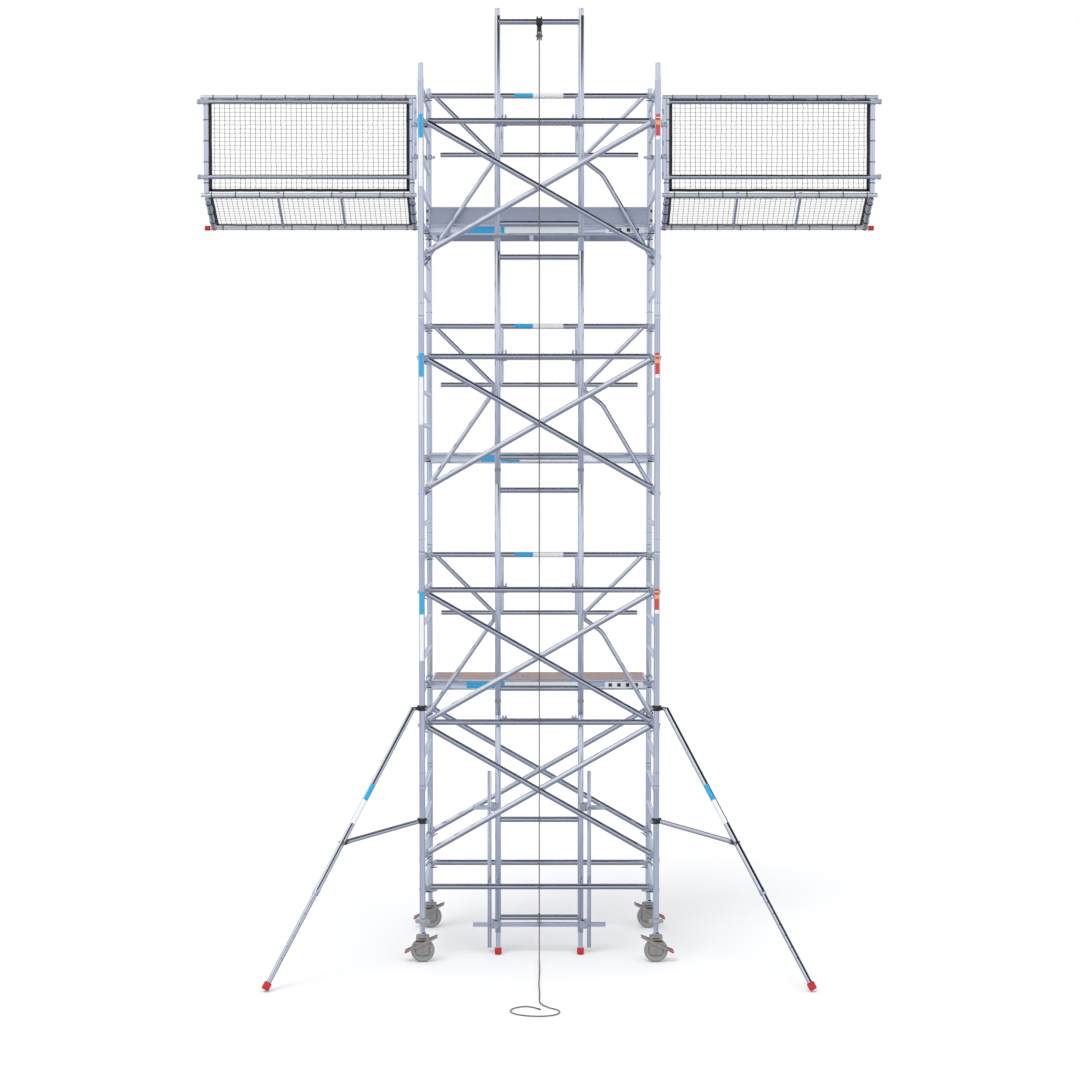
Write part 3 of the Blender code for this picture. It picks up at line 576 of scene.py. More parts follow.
    def prism(self, outline, low, high, place, bevel=0.001):
        """An outline in local X and Y pulled along local Z, its sharp edges softened."""
        bm = bmesh.new()
        bottom = [bm.verts.new((a, b, low)) for a, b in outline]
        top = [bm.verts.new((a, b, high)) for a, b in outline]
        bm.faces.new(bottom)
        bm.faces.new(top)
        for i in range(len(outline)):
            j = (i + 1) % len(outline)
            bm.faces.new((bottom[i], bottom[j], top[j], top[i]))
        bmesh.ops.recalc_face_normals(bm, faces=bm.faces[:])
        if bevel:
            sharp = [e for e in bm.edges if e.calc_face_angle(0) > math.radians(28)]
            bmesh.ops.bevel(bm, geom=sharp, offset=bevel, segments=1, affect="EDGES", clamp_overlap=True)
        self.absorb(bm, place)

    def ball(self, centre, radius, sides=10):
        steps = sides // 2
        profile = [(radius * (1 - math.cos(math.pi * i / steps)),
                    radius * math.sin(math.pi * i / steps) + 1e-5)
                   for i in range(steps + 1)]
        centre = Vector(centre)
        self.lathe(centre - Vector((0, 0, radius)), centre + Vector((0, 0, radius)), profile, sides)

    def bolt(self, centre, way, head=0.009, depth=0.006, washer=True):
        """A hexagon head on a washer, standing out along a direction."""
        centre, way = Vector(centre), Vector(way).normalized()
        if washer:
            self.bar(centre, centre + way * 0.0016, head * 1.35, sides=16, bevel=0.0004)
        base = centre + way * 0.0014
        self.lathe(base, base + way, [(0.0, head), (depth * 0.8, head), (depth, head * 0.82)], 6)

    def patch(self, centre, radius, start, end, low, high, thick=0.0004, steps=10):
        """A film bent round an upright tube between two angles and two heights."""
        arc = [math.radians(start + (end - start) * i / steps) for i in range(steps + 1)]
        outline = [(radius * math.cos(a), radius * math.sin(a)) for a in arc]
        inner = radius - thick
        outline += [(inner * math.cos(a), inner * math.sin(a)) for a in reversed(arc)]
        rings = [[(centre[0] + a, centre[1] + b, z) for a, b in outline] for z in (low, high)]
        around = [radius * i * math.radians(abs(end - start)) / steps for i in range(len(outline) + 1)]
        self.skin(rings, around, [low, high])

    def piece(self, name, body, materials, nodes=(), slot=None, angle=38):
        """Makes the piece, riding on a body and standing for CAD nodes."""
        materials = materials if isinstance(materials, list) else [materials]
        mesh = bpy.data.meshes.new(name)
        mesh.from_pydata(self.points, [], self.faces)
        layer = mesh.uv_layers.new(name="metres")
        layer.data.foreach_set("uv", [c for uv in self.uvs for c in uv])
        for material in materials:
            mesh.materials.append(material)
        mesh.polygons.foreach_set("material_index", self.paints)
        mesh.shade_smooth()
        mesh.set_sharp_from_angle(angle=math.radians(angle))
        obj = bpy.data.objects.new(name, mesh)
        bpy.context.scene.collection.objects.link(obj)
        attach(obj, body)
        if nodes:
            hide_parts(*([nodes] if isinstance(nodes, str) else nodes))
        return obj


def mm(*pairs):
    """Outline or profile pairs given in millimetres."""
    return [(a / 1000, b / 1000) for a, b in pairs]


def facing_x(origin):
    """A frame for outlines drawn in Y and Z and pulled along X."""
    return placed(origin, (0, 1, 0), (0, 0, 1))


def facing_y(origin, turn=1):
    """A frame for outlines drawn in X, or -X when turned, and Z."""
    return placed(origin, (turn, 0, 0), (0, 0, 1))


def circle(radius, steps):
    """Pairs round a whole circle."""
    angles = [2 * math.pi * i / steps for i in range(steps)]
    return [(radius * math.cos(a), radius * math.sin(a)) for a in angles]


def polar(radii, start, end, steps):
    """Outline points round the origin; radii is one radius or a function of the angle in degrees."""
    out = []
    for i in range(steps + 1):
        angle = start + (end - start) * i / steps
        r = radii(angle) if callable(radii) else radii
        out.append((r * math.cos(math.radians(angle)), r * math.sin(math.radians(angle))))
    return out


def open_ring(inner, outer, start, end, inner_steps, outer_steps):
    """Outline of a ring's sector, as a hook or half clamp has it."""
    return polar(inner, start, end, inner_steps) + polar(outer, start, end, outer_steps)[::-1]


def weld(shape, centre, radius, post_r, toward, along):
    """A bead round a level bar where it meets an upright post, on one side of it along X (0) or Y (1)."""
    route = []
    for i in range(16):
        angle = 2 * math.pi * i / 16
        across = radius * math.cos(angle)
        depth = math.sqrt(max(post_r * post_r - across * across, 0.0))
        bead = list(centre)
        bead[1 - along] += across
        bead[along] += toward * (depth + 0.0006)
        bead[2] += radius * math.sin(angle)
        route.append(bead)
    shape.sweep(route, 0.0028, 6, loop=True)


# --- rope ---
def smooth(points, step):
    """Points of a smooth curve through the given ones, with at least one for every step of its length."""
    padded = [points[0] * 2 - points[1], *points, points[-1] * 2 - points[-2]]
    out = [points[0]]
    for a, b, c, d in zip(padded, padded[1:], padded[2:], padded[3:]):
        t1 = max((b - a).length ** 0.5, 1e-6)
        t2 = t1 + (c - b).length ** 0.5
        t3 = t2 + max((d - c).length ** 0.5, 1e-6)
        ways = [(b - a).normalized(), (c - b).normalized(), (d - c).normalized()]
        bend = ways[0].angle(ways[1], 0) + ways[1].angle(ways[2], 0)
        count = max(1, min(6, round(bend / 0.35), round((c - b).length / step)))
        for i in range(1, count + 1):
            t = t1 + (t2 - t1) * i / count
            a1 = a * ((t1 - t) / t1) + b * (t / t1)
            a2 = b * ((t2 - t) / (t2 - t1)) + c * ((t - t1) / (t2 - t1))
            a3 = c * ((t3 - t) / (t3 - t2)) + d * ((t - t2) / (t3 - t2))
            b1 = a1 * ((t2 - t) / t2) + a2 * (t / t2)
            b2 = a2 * ((t3 - t) / (t3 - t1)) + a3 * ((t - t1) / (t3 - t1))
            out.append(b1 * ((t2 - t) / (t2 - t1)) + b2 * ((t - t1) / (t2 - t1)))
    return out


# The hauling part's route below the sheave, as x, distance behind the near posts, and height.
HAUL_ROUTE = (
    (0.0, 0.0345, 7.06), (0.0, 0.029, 7.026), (0.0, 0.028, 6.96), (0.0, 0.028, 5.06), (0.0, 0.028, 3.1),
    (0.0, 0.028, 1.4), (0.0, 0.0275, 0.3), (0.0, 0.024, 0.12), (0.0, 0.01, 0.045), (0.0, -0.02, 0.014),
    (0.001, -0.06, 0.0056), (0.003, -0.35, 0.0056), (-0.003, -0.75, 0.0056), (0.003, -1.1, 0.0056),
    (0.001, -1.27, 0.0056), (0.006, -1.355, 0.0056), (0.032, -1.433, 0.0056), (0.082, -1.51, 0.0056),
    (0.13, -1.555, 0.0056), (0.157, -1.615, 0.0056), (0.146, -1.68, 0.0056), (0.105, -1.725, 0.0056),
    (0.036, -1.751, 0.0056), (-0.04, -1.75, 0.0056), (-0.11, -1.733, 0.0056), (-0.18, -1.69, 0.0056),
    (-0.217, -1.63, 0.0056), (-0.217, -1.57, 0.0056), (-0.19, -1.515, 0.0056), (-0.148, -1.48, 0.0056),
    (-0.1, -1.465, 0.0056), (-0.048, -1.49, 0.0056), (0.01, -1.555, 0.0056),
)


def resampled(points, step):
    """The same route with points a step apart."""
    out = [points[0]]
    spare = 0.0
    for a, b in zip(points, points[1:]):
        length = (b - a).length
        at = step - spare
        while at < length:
            out.append(a.lerp(b, at / length))
            at += step
        spare = (spare + length) % step
    out.append(points[-1])
    return out


def laid_rope(points, step=0.006, lay=0.042):
    """Three strands twisted together along a route."""
    shape = Shape()
    strand = (1.0, 0.965, 0.8, 0.965)
    corners = len(strand) * 3
    route = resampled(points, step)
    side, up = axes_for((route[1] - route[0]).normalized())
    before = (route[1] - route[0]).normalized()
    rings, along = [], []
    travelled = 0.0
    for i, place in enumerate(route):
        way = (route[min(i + 1, len(route) - 1)] - route[max(i - 1, 0)]).normalized()
        turn = before.rotation_difference(way)
        side, up, before = turn @ side, turn @ up, way
        if i:
            travelled += (place - route[i - 1]).length
        twist = 2 * math.pi * travelled / lay
        ring = []
        for j in range(corners):
            angle = 2 * math.pi * j / corners + twist
            ring.append(place + (side * math.cos(angle) + up * math.sin(angle)) * (ROPE_R * strand[j % 4]))
        rings.append(ring)
        along.append(travelled)
    around = [2 * math.pi * ROPE_R * j / corners for j in range(corners + 1)]
    shape.skin(rings, around, along)
    return shape


def make_rope():
    centre = point(0, LADDER_Y, SHEAVE_Z)
    start = centre + Vector((0, ROPE_BEND_R, -0.004))
    wrap = [start]
    for i in range(WRAP_STEPS + 1):
        angle = math.radians(WRAP_DEGREES * i / WRAP_STEPS)
        wrap.append(centre + Vector((0, math.cos(angle), math.sin(angle))) * ROPE_BEND_R)
    route = wrap + smooth([wrap[-1], *(point(*p) for p in HAUL_ROUTE)], 0.04)[1:]
    hauling = laid_rope(route).piece("rope_hauling", "tower", ROPE, "rope_hauling_part", angle=60)
    whipping = Shape()
    end_way = (route[-1] - route[-2]).normalized()
    for i in range(10):
        place = route[-1] - end_way * (0.006 + 0.0026 * i)
        whipping.bar(place - end_way * 0.0013, place + end_way * 0.0013, 0.0055, sides=12, bevel=0.0006)
    twine = whipping.piece("rope_whipping", "tower", NET)
    top = start - Vector((0, 0, 0.0003))
    foot = point(0, LOAD_Y, CARRIAGE_Z + 0.0545)
    count = 12
    run = laid_rope([foot.lerp(top, i / count) for i in range(count + 1)])
    load = run.piece("rope_load", "tower", ROPE, "rope_load_run", angle=60)
    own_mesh(load)


# --- frames ---
def make_frame(side, sign, level, foot, rungs):
    name = f"{side}_base_frame" if level == 0 else f"{side}_frame_{level}"
    x = sign * POST_X
    top = foot + RUNG_PITCH * rungs
    height = top - foot
    shape = Shape()
    for y in (NEAR_Y, FAR_Y):
        shape.lathe((x, y, foot), (x, y, top), [
            (0.045, 0.0234), (0.0005, 0.0234), (0.0005, 0.0258), (0.0018, 0.0266), (0.014, 0.0264),
            (0.024, POST_R), (height - 0.03, POST_R), (height - 0.024, 0.0262), (height - 0.014, 0.0262),
            (height - 0.008, POST_R), (height - 0.0015, POST_R), (height - 0.0003, 0.0244),
            (height - 0.0003, SPIGOT_R), (height + 0.11, SPIGOT_R), (height + SPIGOT_LENGTH, 0.0205),
            (height + SPIGOT_LENGTH, 0.019), (height + 0.06, 0.019),
        ], 32)
    for i in range(rungs):
        z = foot + FIRST_RUNG + RUNG_PITCH * i
        shape.bar((x, NEAR_Y + 0.021, z), (x, FAR_Y - 0.021, z), RUNG_R, sides=48, flutes=0.035)
        weld(shape, (x, NEAR_Y, z), RUNG_R, POST_R, 1, 1)
        weld(shape, (x, FAR_Y, z), RUNG_R, POST_R, -1, 1)
    shape.piece(name + "_tubes", "tower", ALUMINIUM, name)


def spring_clip(shape, x, y, z, out):
    """A ball-headed pin through the joint on a wire ring that springs round the post."""
    way = Vector((0.0, out, 0.0))
    ring = []
    for i in range(15):
        angle = math.radians(-125 + 250 * i / 14)
        across, back = CLIP_R * math.sin(angle), CLIP_R * math.cos(angle)
        ring.append((x + across, y - out * back, z + 0.004 * math.cos(angle)))
    shape.sweep(ring, 0.0016, 6)
    head = Vector((x, y, z)) + way * (POST_R + 0.002)
    shape.bar(Vector((x, y, z)) + way * 0.02, head, 0.0042, sides=12)
    shape.ball(head + way * 0.003, 0.0062)


def make_stickers(side, sign):
    """Plain colour bands on the near posts."""
    x = sign * POST_X
    cyan, white, red, orange = Shape(), Shape(), Shape(), Shape()
    film_r = POST_R + 0.0004
    if side == "left":
        for low, high in ((6.48, 7.07), (4.51, 5.1), (2.54, 3.12)):
            split = high - (high - low) * 0.33
            cyan.patch((x, NEAR_Y), film_r, -134, -46, split, high)
            white.patch((x, NEAR_Y), film_r, -134, -46, low, split - 0.001)
    else:
        bands = ((red, 0.0, 0.024), (white, 0.025, 0.03), (red, 0.031, 0.053),
                 (orange, 0.054, 0.086), (red, 0.087, 0.178), (white, 0.179, 0.209))
        for top in (7.069, 5.105, 3.145):
            for film, start, end in bands:
                film.patch((x, NEAR_Y), film_r, -132, -48, top - end, top - start)
    if side == "left":
        cyan.piece("left_post_cyan_bands", "tower", CYAN)
    else:
        red.piece("right_post_red_labels", "tower", RED_FILM)
        orange.piece("right_post_orange_labels", "tower", ORANGE)
    white.piece(f"{side}_post_white_bands", "tower", WHITE)


def make_wing_nuts(side, sign):
    for near, y in (("near", NEAR_Y), ("far", FAR_Y)):
        x = sign * POST_X
        foot = FRAME_FEET[0]
        shape = Shape()
        shape.lathe((x, y, foot - 0.044), (x, y, foot), mm(
            (10, 21.7), (0, 21.7), (0, 29), (4, 32.5), (14, 33.5), (26, 33.5), (36, 31.5), (43.5, 29),
            (43.5, 23),
        ), 32)
        wing = mm((26, -19), (50, -19), (59, -15), (63, -4), (63, 6), (58, 14), (46, 18), (26, 19))
        for turn in (1, -1):
            place = facing_y((x, y, foot - 0.021), turn)
            shape.prism(wing, -0.0065, 0.0065, place, 0.002)
        shape.piece(f"{near}_{side}_wing_nut", "tower", NUT, f"{side}_base_frame")


def make_frames():
    for side, sign in SIDES:
        for level, (foot, rungs) in enumerate(zip(FRAME_FEET, FRAME_RUNGS)):
            make_frame(side, sign, level, foot, rungs)
        clips = Shape()
        for y, out in ((NEAR_Y, -1), (FAR_Y, 1)):
            for z in CLIP_HEIGHTS:
                spring_clip(clips, sign * POST_X, y, z, out)
        clips.piece(f"{side}_spring_clips", "tower", STEEL, slot="dark_metal")
        make_stickers(side, sign)
        make_wing_nuts(side, sign)


# --- braces ---
def claw_outline(low=-42.0, high=226.0):
    """Side view of the cast claw: a hook round the rung with a blunt nose on its outer side."""
    def outer(angle):
        nose = max(0.0, 1 - abs(angle - 196) / 34)
        return 0.0318 + 0.0105 * nose ** 0.8
    return open_ring(HOOK_R, outer, low, high, 18, 24)


def claw(shape, latch, rung, way, tube_r, lift):
    """A cast claw on a rung along Y, its raised tube leaving in a direction, with its latch and button."""
    up = Vector((-way.z, 0, way.x)) if way.x > 0 else Vector((way.z, 0, -way.x))
    place = placed(rung, way, up)
    axis = rung + Vector((0, 0, lift))
    shape.prism(claw_outline(), -0.019, 0.019, place, 0.0022)
    ahead, above = lift * way.z, lift * up.z
    neck = [(0.024, -0.019), (0.034 + ahead / 2, above / 2 - 0.0205), (0.056 + ahead, above - 0.0215),
            (0.056 + ahead, above + 0.0215), (0.034 + ahead / 2, above / 2 + 0.0225), (0.022, 0.026)]
    shape.prism(neck, -0.0165, 0.0165, place, 0.003)
    shape.lathe(axis + way * 0.05, axis + way * 0.075, [
        (0.0, tube_r - 0.006), (0.003, tube_r - 0.001), (0.008, tube_r + 0.0012), (0.012, tube_r + 0.0012),
        (0.014, tube_r - 0.0005), (0.022, tube_r - 0.001),
    ], 24)
    lever = mm(
        (-4, -34.5), (10, -33), (22, -26.5), (46, -25), (64, -25.5), (68, -28.5), (64, -32), (46, -32.5),
        (20, -35), (2, -39),
    )
    latch.paint = 0
    latch.prism(lever, -0.006, 0.006, place, 0.0012)
    pin = place @ Vector((0.036, -0.016, -0.0185))
    latch.bar(pin, place @ Vector((0.036, -0.016, 0.0185)), 0.0035, sides=12)
    latch.paint = 1
    button = axis + way * 0.052 + up * (tube_r - 0.003)
    latch.bar(button, button + up * 0.0075, 0.0052, sides=14)


def make_brace(name, y, left_z, right_z, node):
    """One brace over a rung on the left and one on the right."""
    left, right = point(-POST_X, y, left_z), point(POST_X, y, right_z)
    way = (right - left).normalized()
    rise = Vector((0, 0, BRACE_LIFT))
    claws, latches, tube = Shape(), Shape(), Shape()
    claw(claws, latches, left, way, BRACE_R, BRACE_LIFT)
    claw(claws, latches, right, -way, BRACE_R, BRACE_LIFT)
    tube.bar(left + rise + way * 0.062, right + rise - way * 0.062, BRACE_R, sides=28)
    tube.piece(name + "_tube", "tower", ALUMINIUM, node)
    claws.piece(name + "_claws", "tower", CAST, node)
    latches.piece(name + "_latches", "tower", [BLACK, OLIVE], node)


def make_cross_bolt(name, first, second, z, node):
    """The bolt through two crossed diagonals: a flat rivet head in front, a hexagon head behind."""
    bolt = Shape()
    front, back = point(0, first - BRACE_R, z), point(0, second + BRACE_R, z)
    bolt.bar(front, back, 0.005, sides=12)
    bolt.lathe(front, front - BACK, mm((0, 8.5), (0.8, 7.8), (1.3, 3)), 16)
    bolt.bolt(back, (0, 1, 0), 0.0085)
    bolt.piece(name, "tower", STEEL, node, slot="dark_metal")


def make_braces():
    first, second, level = BRACE_PLANES
    make_brace("front_sill", level, SILL_Z, SILL_Z, "front_sill_brace")
    rear_first, rear_second = FRAME_DEPTH - first, FRAME_DEPTH - second
    make_brace("rear_sill", rear_first, SILL_Z, SILL_Z, "rear_sill_brace")
    make_brace("rear_diagonal_1", rear_first, 1.986, 0.866, "rear_cross_braces")
    make_brace("rear_diagonal_2", rear_second, 0.866, 1.986, "rear_cross_braces")
    make_cross_bolt("rear_cross_bolt", rear_second, rear_first, 1.426 + BRACE_LIFT, "rear_cross_braces")
    for number, (low, high) in enumerate(BRACE_PAIRS, 1):
        node = f"front_brace_set_{number}"
        make_brace(f"front_level_{number}", level, high, high, node)
        make_brace(f"front_diagonal_{number}a", first, high, low, node)
        make_brace(f"front_diagonal_{number}b", second, low, high, node)
        make_cross_bolt(f"front_cross_bolt_{number}", first, second, (low + high) / 2 + BRACE_LIFT, node)


# --- casters ---
def make_leg(name, x, y):
    """The threaded leg, with a few turns of its thread showing over its collar."""
    leg = Shape()
    leg.lathe((x, y, LEG_FOOT), (x, y, LEG_TOP), [
        (0.0, 0.028), (0.002, 0.031), (0.01, 0.031), (0.015, 0.0265), (0.02, LEG_R),
        (LEG_TOP - LEG_FOOT - 0.001, LEG_R), (LEG_TOP - LEG_FOOT, LEG_R - 0.001),
        (LEG_TOP - LEG_FOOT, LEG_R - 0.003), (LEG_TOP - LEG_FOOT - 0.04, LEG_R - 0.003),
    ], 28)
    for i in range(8):
        z = 0.264 + 0.0065 * i
        leg.lathe((x, y, z), (x, y, z + 1),
                  [(0.0, LEG_R - 0.001), (0.0022, LEG_R + 0.0008), (0.0044, LEG_R - 0.001)], 28)
    leg.piece(f"{name}_leg_screw", f"{name}_leg", ALUMINIUM, f"{name}_leg")


def make_fork(name, x, y):
    fork = Shape()
    fork.lathe((x, y, 0.2), (x, y, 0.233), mm(
        (0, 34), (6, 44), (10, 46.5), (14, 44), (18, 38), (24, 35.5), (29.5, 33.5), (32.2, 30),
    ), 36)
    plate = mm(
        (-53.5, 230), (-54.8, 154), (-55.2, 82), (-48, 72), (48, 72), (55.2, 82), (54.8, 154), (53.5, 230),
    )
    for side in (-1, 1):
        place = facing_y((x, y + side * 0.0322, 0))
        fork.prism([(a, b - 0.004) for a, b in plate], -0.0032, 0.0032, place, 0.0012)
    fork.block((x - 0.053, y - 0.035, 0.2195), (x + 0.053, y + 0.035, 0.2265), 0.002)
    fork.bar((x, y - 0.034, WHEEL_R), (x, y + 0.034, WHEEL_R), 0.008, sides=16)
    for side in (-1, 1):
        fork.bolt((x, y + side * 0.0354, WHEEL_R), (0, side, 0), 0.0115, 0.006)
    fork.piece(f"{name}_fork_body", f"{name}_fork", CASTER, f"{name}_fork")
    race = Shape()
    race.lathe((x, y, 0.2025), (x, y, 0.3),
               mm((0, 30), (0, 47.8), (3.5, 47.8), (3.5, 30)), 36)
    for side in (-1, 1):
        race.block((x - 0.0545, y + side * 0.0352, 0.174), (x + 0.0545, y + side * 0.0362, 0.187), 0.0003)
    race.piece(f"{name}_bearing_band", f"{name}_fork", BLACK, f"{name}_fork")


def make_wheel(name, x, y):
    centre = Vector((x, y, WHEEL_R))
    start, end = centre - BACK * WHEEL_HALF, centre + BACK * WHEEL_HALF
    tyre = Shape()
    tyre.lathe(start, end, mm(
        (4, 78), (1.5, 82), (2, 90), (4.5, 95.5), (10, 98.5), (18, 99.8), (24.5, 100), (31, 99.8),
        (39, 98.5), (44.5, 95.5), (47, 90), (47.5, 82), (45, 78),
    ), 64)
    tyre.piece(f"{name}_tyre", f"{name}_wheel", TYRE, f"{name}_wheel")
    hub = Shape()
    hub.lathe(start, end, mm(
        (0, 9.5), (0, 19), (2, 21), (10, 22.5), (15.5, 30), (16.5, 58), (10, 70), (4, 72.5), (3, 78.5),
        (46, 78.5), (45, 72.5), (39, 70), (32.5, 58), (33.5, 30), (39, 22.5), (47, 21), (49, 19), (49, 9.5),
    ), 48)
    for i in range(6):
        angle = 2 * math.pi * i / 6
        way = Vector((math.cos(angle), 0, math.sin(angle)))
        across = Vector((-math.sin(angle), 0, math.cos(angle)))
        for face in (-1, 1):
            middle = centre + way * 0.046 + BACK * (face * 0.012)
            hub.block((-0.025, -0.0022, -0.0055), (0.025, 0.0022, 0.0055), 0.0012,
                      placed(middle, way, across))
    hub.piece(f"{name}_rim", f"{name}_wheel", HUB, f"{name}_wheel")


def make_brake(name, x, y, sign):
    """The rocker over the wheel and its pedal, which points outwards."""
    brake = Shape()
    cheek = mm(
        (150, 85), (148, 97), (118, 110.5), (60, 139), (22, 159), (-6, 174), (-55, 196), (-100, 214.5),
        (-123.5, 222), (-126.5, 216.5), (-120, 208), (-60, 175), (-18, 148), (6, 138), (60, 118), (110, 96),
    )
    for side in (-1, 1):
        place = facing_y((x, y + side * 0.0418, 0), sign)
        brake.prism(cheek, -0.002, 0.002, place, 0.0007)
    inner_arm = sign * -0.115
    brake.block((x + inner_arm - 0.009, y - 0.044, 0.2075), (x + inner_arm + 0.009, y + 0.044, 0.2135),
                0.002)
    for side in (-1, 1):
        brake.bolt((x, y + side * 0.044, 0.154), (0, side, 0), 0.0075, 0.004, washer=False)
    brake.piece(f"{name}_brake_rocker", f"{name}_brake", CASTER, f"{name}_brake")
    pedal = Shape()
    tip = placed((x + sign * 0.1315, y, 0.0915), (sign, 0, -0.42), (0, 1, 0))
    pedal.block((-0.02, -0.0455, -0.0058), (0.02, 0.0455, 0.0058), 0.003, tip)
    face = math.copysign(0.0055, sign * tip.col[2].z)
    for i in range(5):
        x = -0.014 + 0.007 * i
        pedal.bar(tip @ Vector((x, -0.04, face)), tip @ Vector((x, 0.04, face)), 0.0016, sides=8)
    pedal.piece(f"{name}_brake_pedal", f"{name}_brake", RED, f"{name}_brake")


def make_casters():
    for near, y in (("near", NEAR_Y), ("far", FAR_Y)):
        for side, sign in SIDES:
            name, x = f"{near}_{side}", sign * POST_X
            make_leg(name, x, y)
            make_fork(name, x, y)
            make_wheel(name, x, y)
            make_brake(name, x, y, sign)


# --- platforms ---
# Section of a platform's side beam, outwards from its inner face, with a shallow recess for a sticker.
BEAM_OUTLINE = mm(
    (0, -45), (36, -45), (40, -42), (40, -34), (37.5, -31), (37.5, 26), (40, 29), (40, 37), (36, 40),
    (0, 40), (0, 34), (3, 31), (3, -36), (0, -39),
)


def board(shape, low, high, hole):
    """A flat board with a rectangular hole; hole is (low x, high x, low y, high y)."""
    outer = [(low[0], low[1]), (high[0], low[1]), (high[0], high[1]), (low[0], high[1])]
    inner = [(hole[0], hole[2]), (hole[1], hole[2]), (hole[1], hole[3]), (hole[0], hole[3])]
    bm = bmesh.new()
    rings = []
    for corners in (outer, inner):
        for z in (low[2], high[2]):
            rings.append([bm.verts.new((a, b, z)) for a, b in corners])
    for i in range(4):
        j = (i + 1) % 4
        bm.faces.new((rings[0][i], rings[0][j], rings[1][j], rings[1][i]))
        bm.faces.new((rings[2][j], rings[2][i], rings[3][i], rings[3][j]))
        bm.faces.new((rings[1][i], rings[1][j], rings[3][j], rings[3][i]))
        bm.faces.new((rings[0][j], rings[0][i], rings[2][i], rings[2][j]))
    bmesh.ops.recalc_face_normals(bm, faces=bm.faces[:])
    shape.absorb(bm)


def platform_film(number, z):
    """Plain colour blocks on the front beam, where the real one carries printed stickers."""
    y = DECK_NEAR + 0.0021
    low, high = z - 0.03, z + 0.024
    split = {1: (-0.63, -0.3, 0.34), 2: (-0.505, -0.17, 0.5), 3: (-0.63, -0.3, 0.34)}[number]
    cyan = Shape()
    cyan.block(point(split[0], y, low), point(split[1], y + 0.0006, high), 0)
    cyan.piece(f"platform_{number}_cyan_film", "tower", CYAN)
    white = Shape()
    white.block(point(split[1] + 0.001, y, low), point(split[2], y + 0.0006, high), 0)
    if number != 2:
        white.block(point(0.57, y, low), point(0.9, y + 0.0006, high), 0)
    white.piece(f"platform_{number}_white_film", "tower", WHITE)
    if number != 2:
        dark = Shape()
        for i in range(4):
            x = 0.6 + 0.075 * i
            dark.block(point(x, y - 0.0003, z - 0.018), point(x + 0.03, y, z + 0.012), 0)
        dark.piece(f"platform_{number}_dark_blocks", "tower", BLACK)


def make_platform(number, z):
    node = f"platform_{number}"
    low_x, high_x, near_y, far_y = HATCH
    beams = Shape()
    for y, out in ((DECK_NEAR + 0.04, -1), (DECK_FAR - 0.04, 1)):
        place = placed(point(0, y, z), (0, out, 0), (0, 0, 1))
        beams.prism(BEAM_OUTLINE, -DECK_X, DECK_X, place, 0.0008)
    for sign in (-1, 1):
        beams.block(point(sign * 0.89, DECK_NEAR + 0.038, z - 0.041),
                    point(sign * 0.93, DECK_FAR - 0.038, z + 0.036), 0.002)
    beams.block(point(0.41, DECK_NEAR + 0.038, z - 0.01), point(0.45, DECK_FAR - 0.038, z + 0.03), 0.002)
    beams.block(point(high_x + 0.012, DECK_NEAR + 0.038, z - 0.041),
                point(high_x + 0.05, DECK_FAR - 0.038, z + 0.031), 0.002)
    for y in (near_y - 0.008, far_y + 0.002):
        beams.block(point(low_x - 0.006, y, z + 0.006), point(high_x + 0.012, y + 0.006, z + 0.031), 0.001)
    for x in (-0.925, 0.925):
        beams.block(point(x - 0.01, DECK_NEAR + 0.001, z + 0.04),
                    point(x + 0.01, DECK_FAR - 0.001, z + 0.0465), 0.002)
    for y in (DECK_NEAR + 0.0005, DECK_FAR - 0.0055):
        beams.block(point(-DECK_X, y, z + 0.037), point(DECK_X, y + 0.005, z + 0.0465), 0.001)
    beams.piece(node + "_beams", "tower", ALUMINIUM, node)

    deck = Shape()
    board(deck, point(-0.916, DECK_NEAR + 0.006, z + 0.0312), point(0.916, DECK_FAR - 0.006, z + 0.045),
          (low_x, high_x, NEAR_Y + near_y, NEAR_Y + far_y))
    deck.piece(node + "_deck", "tower", DECK, node)
    lining = Shape()
    board(lining, point(-0.914, DECK_NEAR + 0.008, z + 0.0304), point(0.914, DECK_FAR - 0.008, z + 0.0311),
          (low_x, high_x, NEAR_Y + near_y, NEAR_Y + far_y))
    lining.piece(node + "_underside", "tower", GREY_FILM)
    rivets = Shape()
    for x in (-0.87, -0.6, -0.3, -0.04, 0.25, 0.55, 0.87):
        for y in (DECK_NEAR + 0.022, DECK_FAR - 0.022):
            rivets.lathe(point(x, y, z + 0.0448), point(x, y, z + 1),
                         mm((0, 6.2), (0.9, 5.5), (1.4, 2)), 12)
    rivets.piece(node + "_rivets", "tower", STEEL)

    hooks, latches = Shape(), Shape()
    for sign in (-1, 1):
        for y in (DECK_NEAR + 0.045, DECK_FAR - 0.045):
            rung = point(sign * POST_X, y, z)
            inward = Vector((-sign, 0, 0))
            place = placed(rung, inward, (0, 0, 1))
            hooks.prism(open_ring(HOOK_R, 0.031, -34, 192, 14, 20), -0.019, 0.019,
                        place, 0.002)
            hooks.prism(mm((24.5, -18), (62, -24), (62, 26), (21.5, 22)), -0.017, 0.017,
                        place, 0.002)
            lock = mm((-30, -28), (-16, -24.5), (20, -23.5), (52, -26), (52, -33), (-14, -33), (-26, -34.5))
            latches.prism(lock, -0.005, 0.005, place, 0.001)
    hooks.piece(node + "_hooks", "tower", CAST, node)
    latches.piece(node + "_wind_locks", "tower", BLACK, node)
    platform_film(number, z)
    make_hatch(number, z)


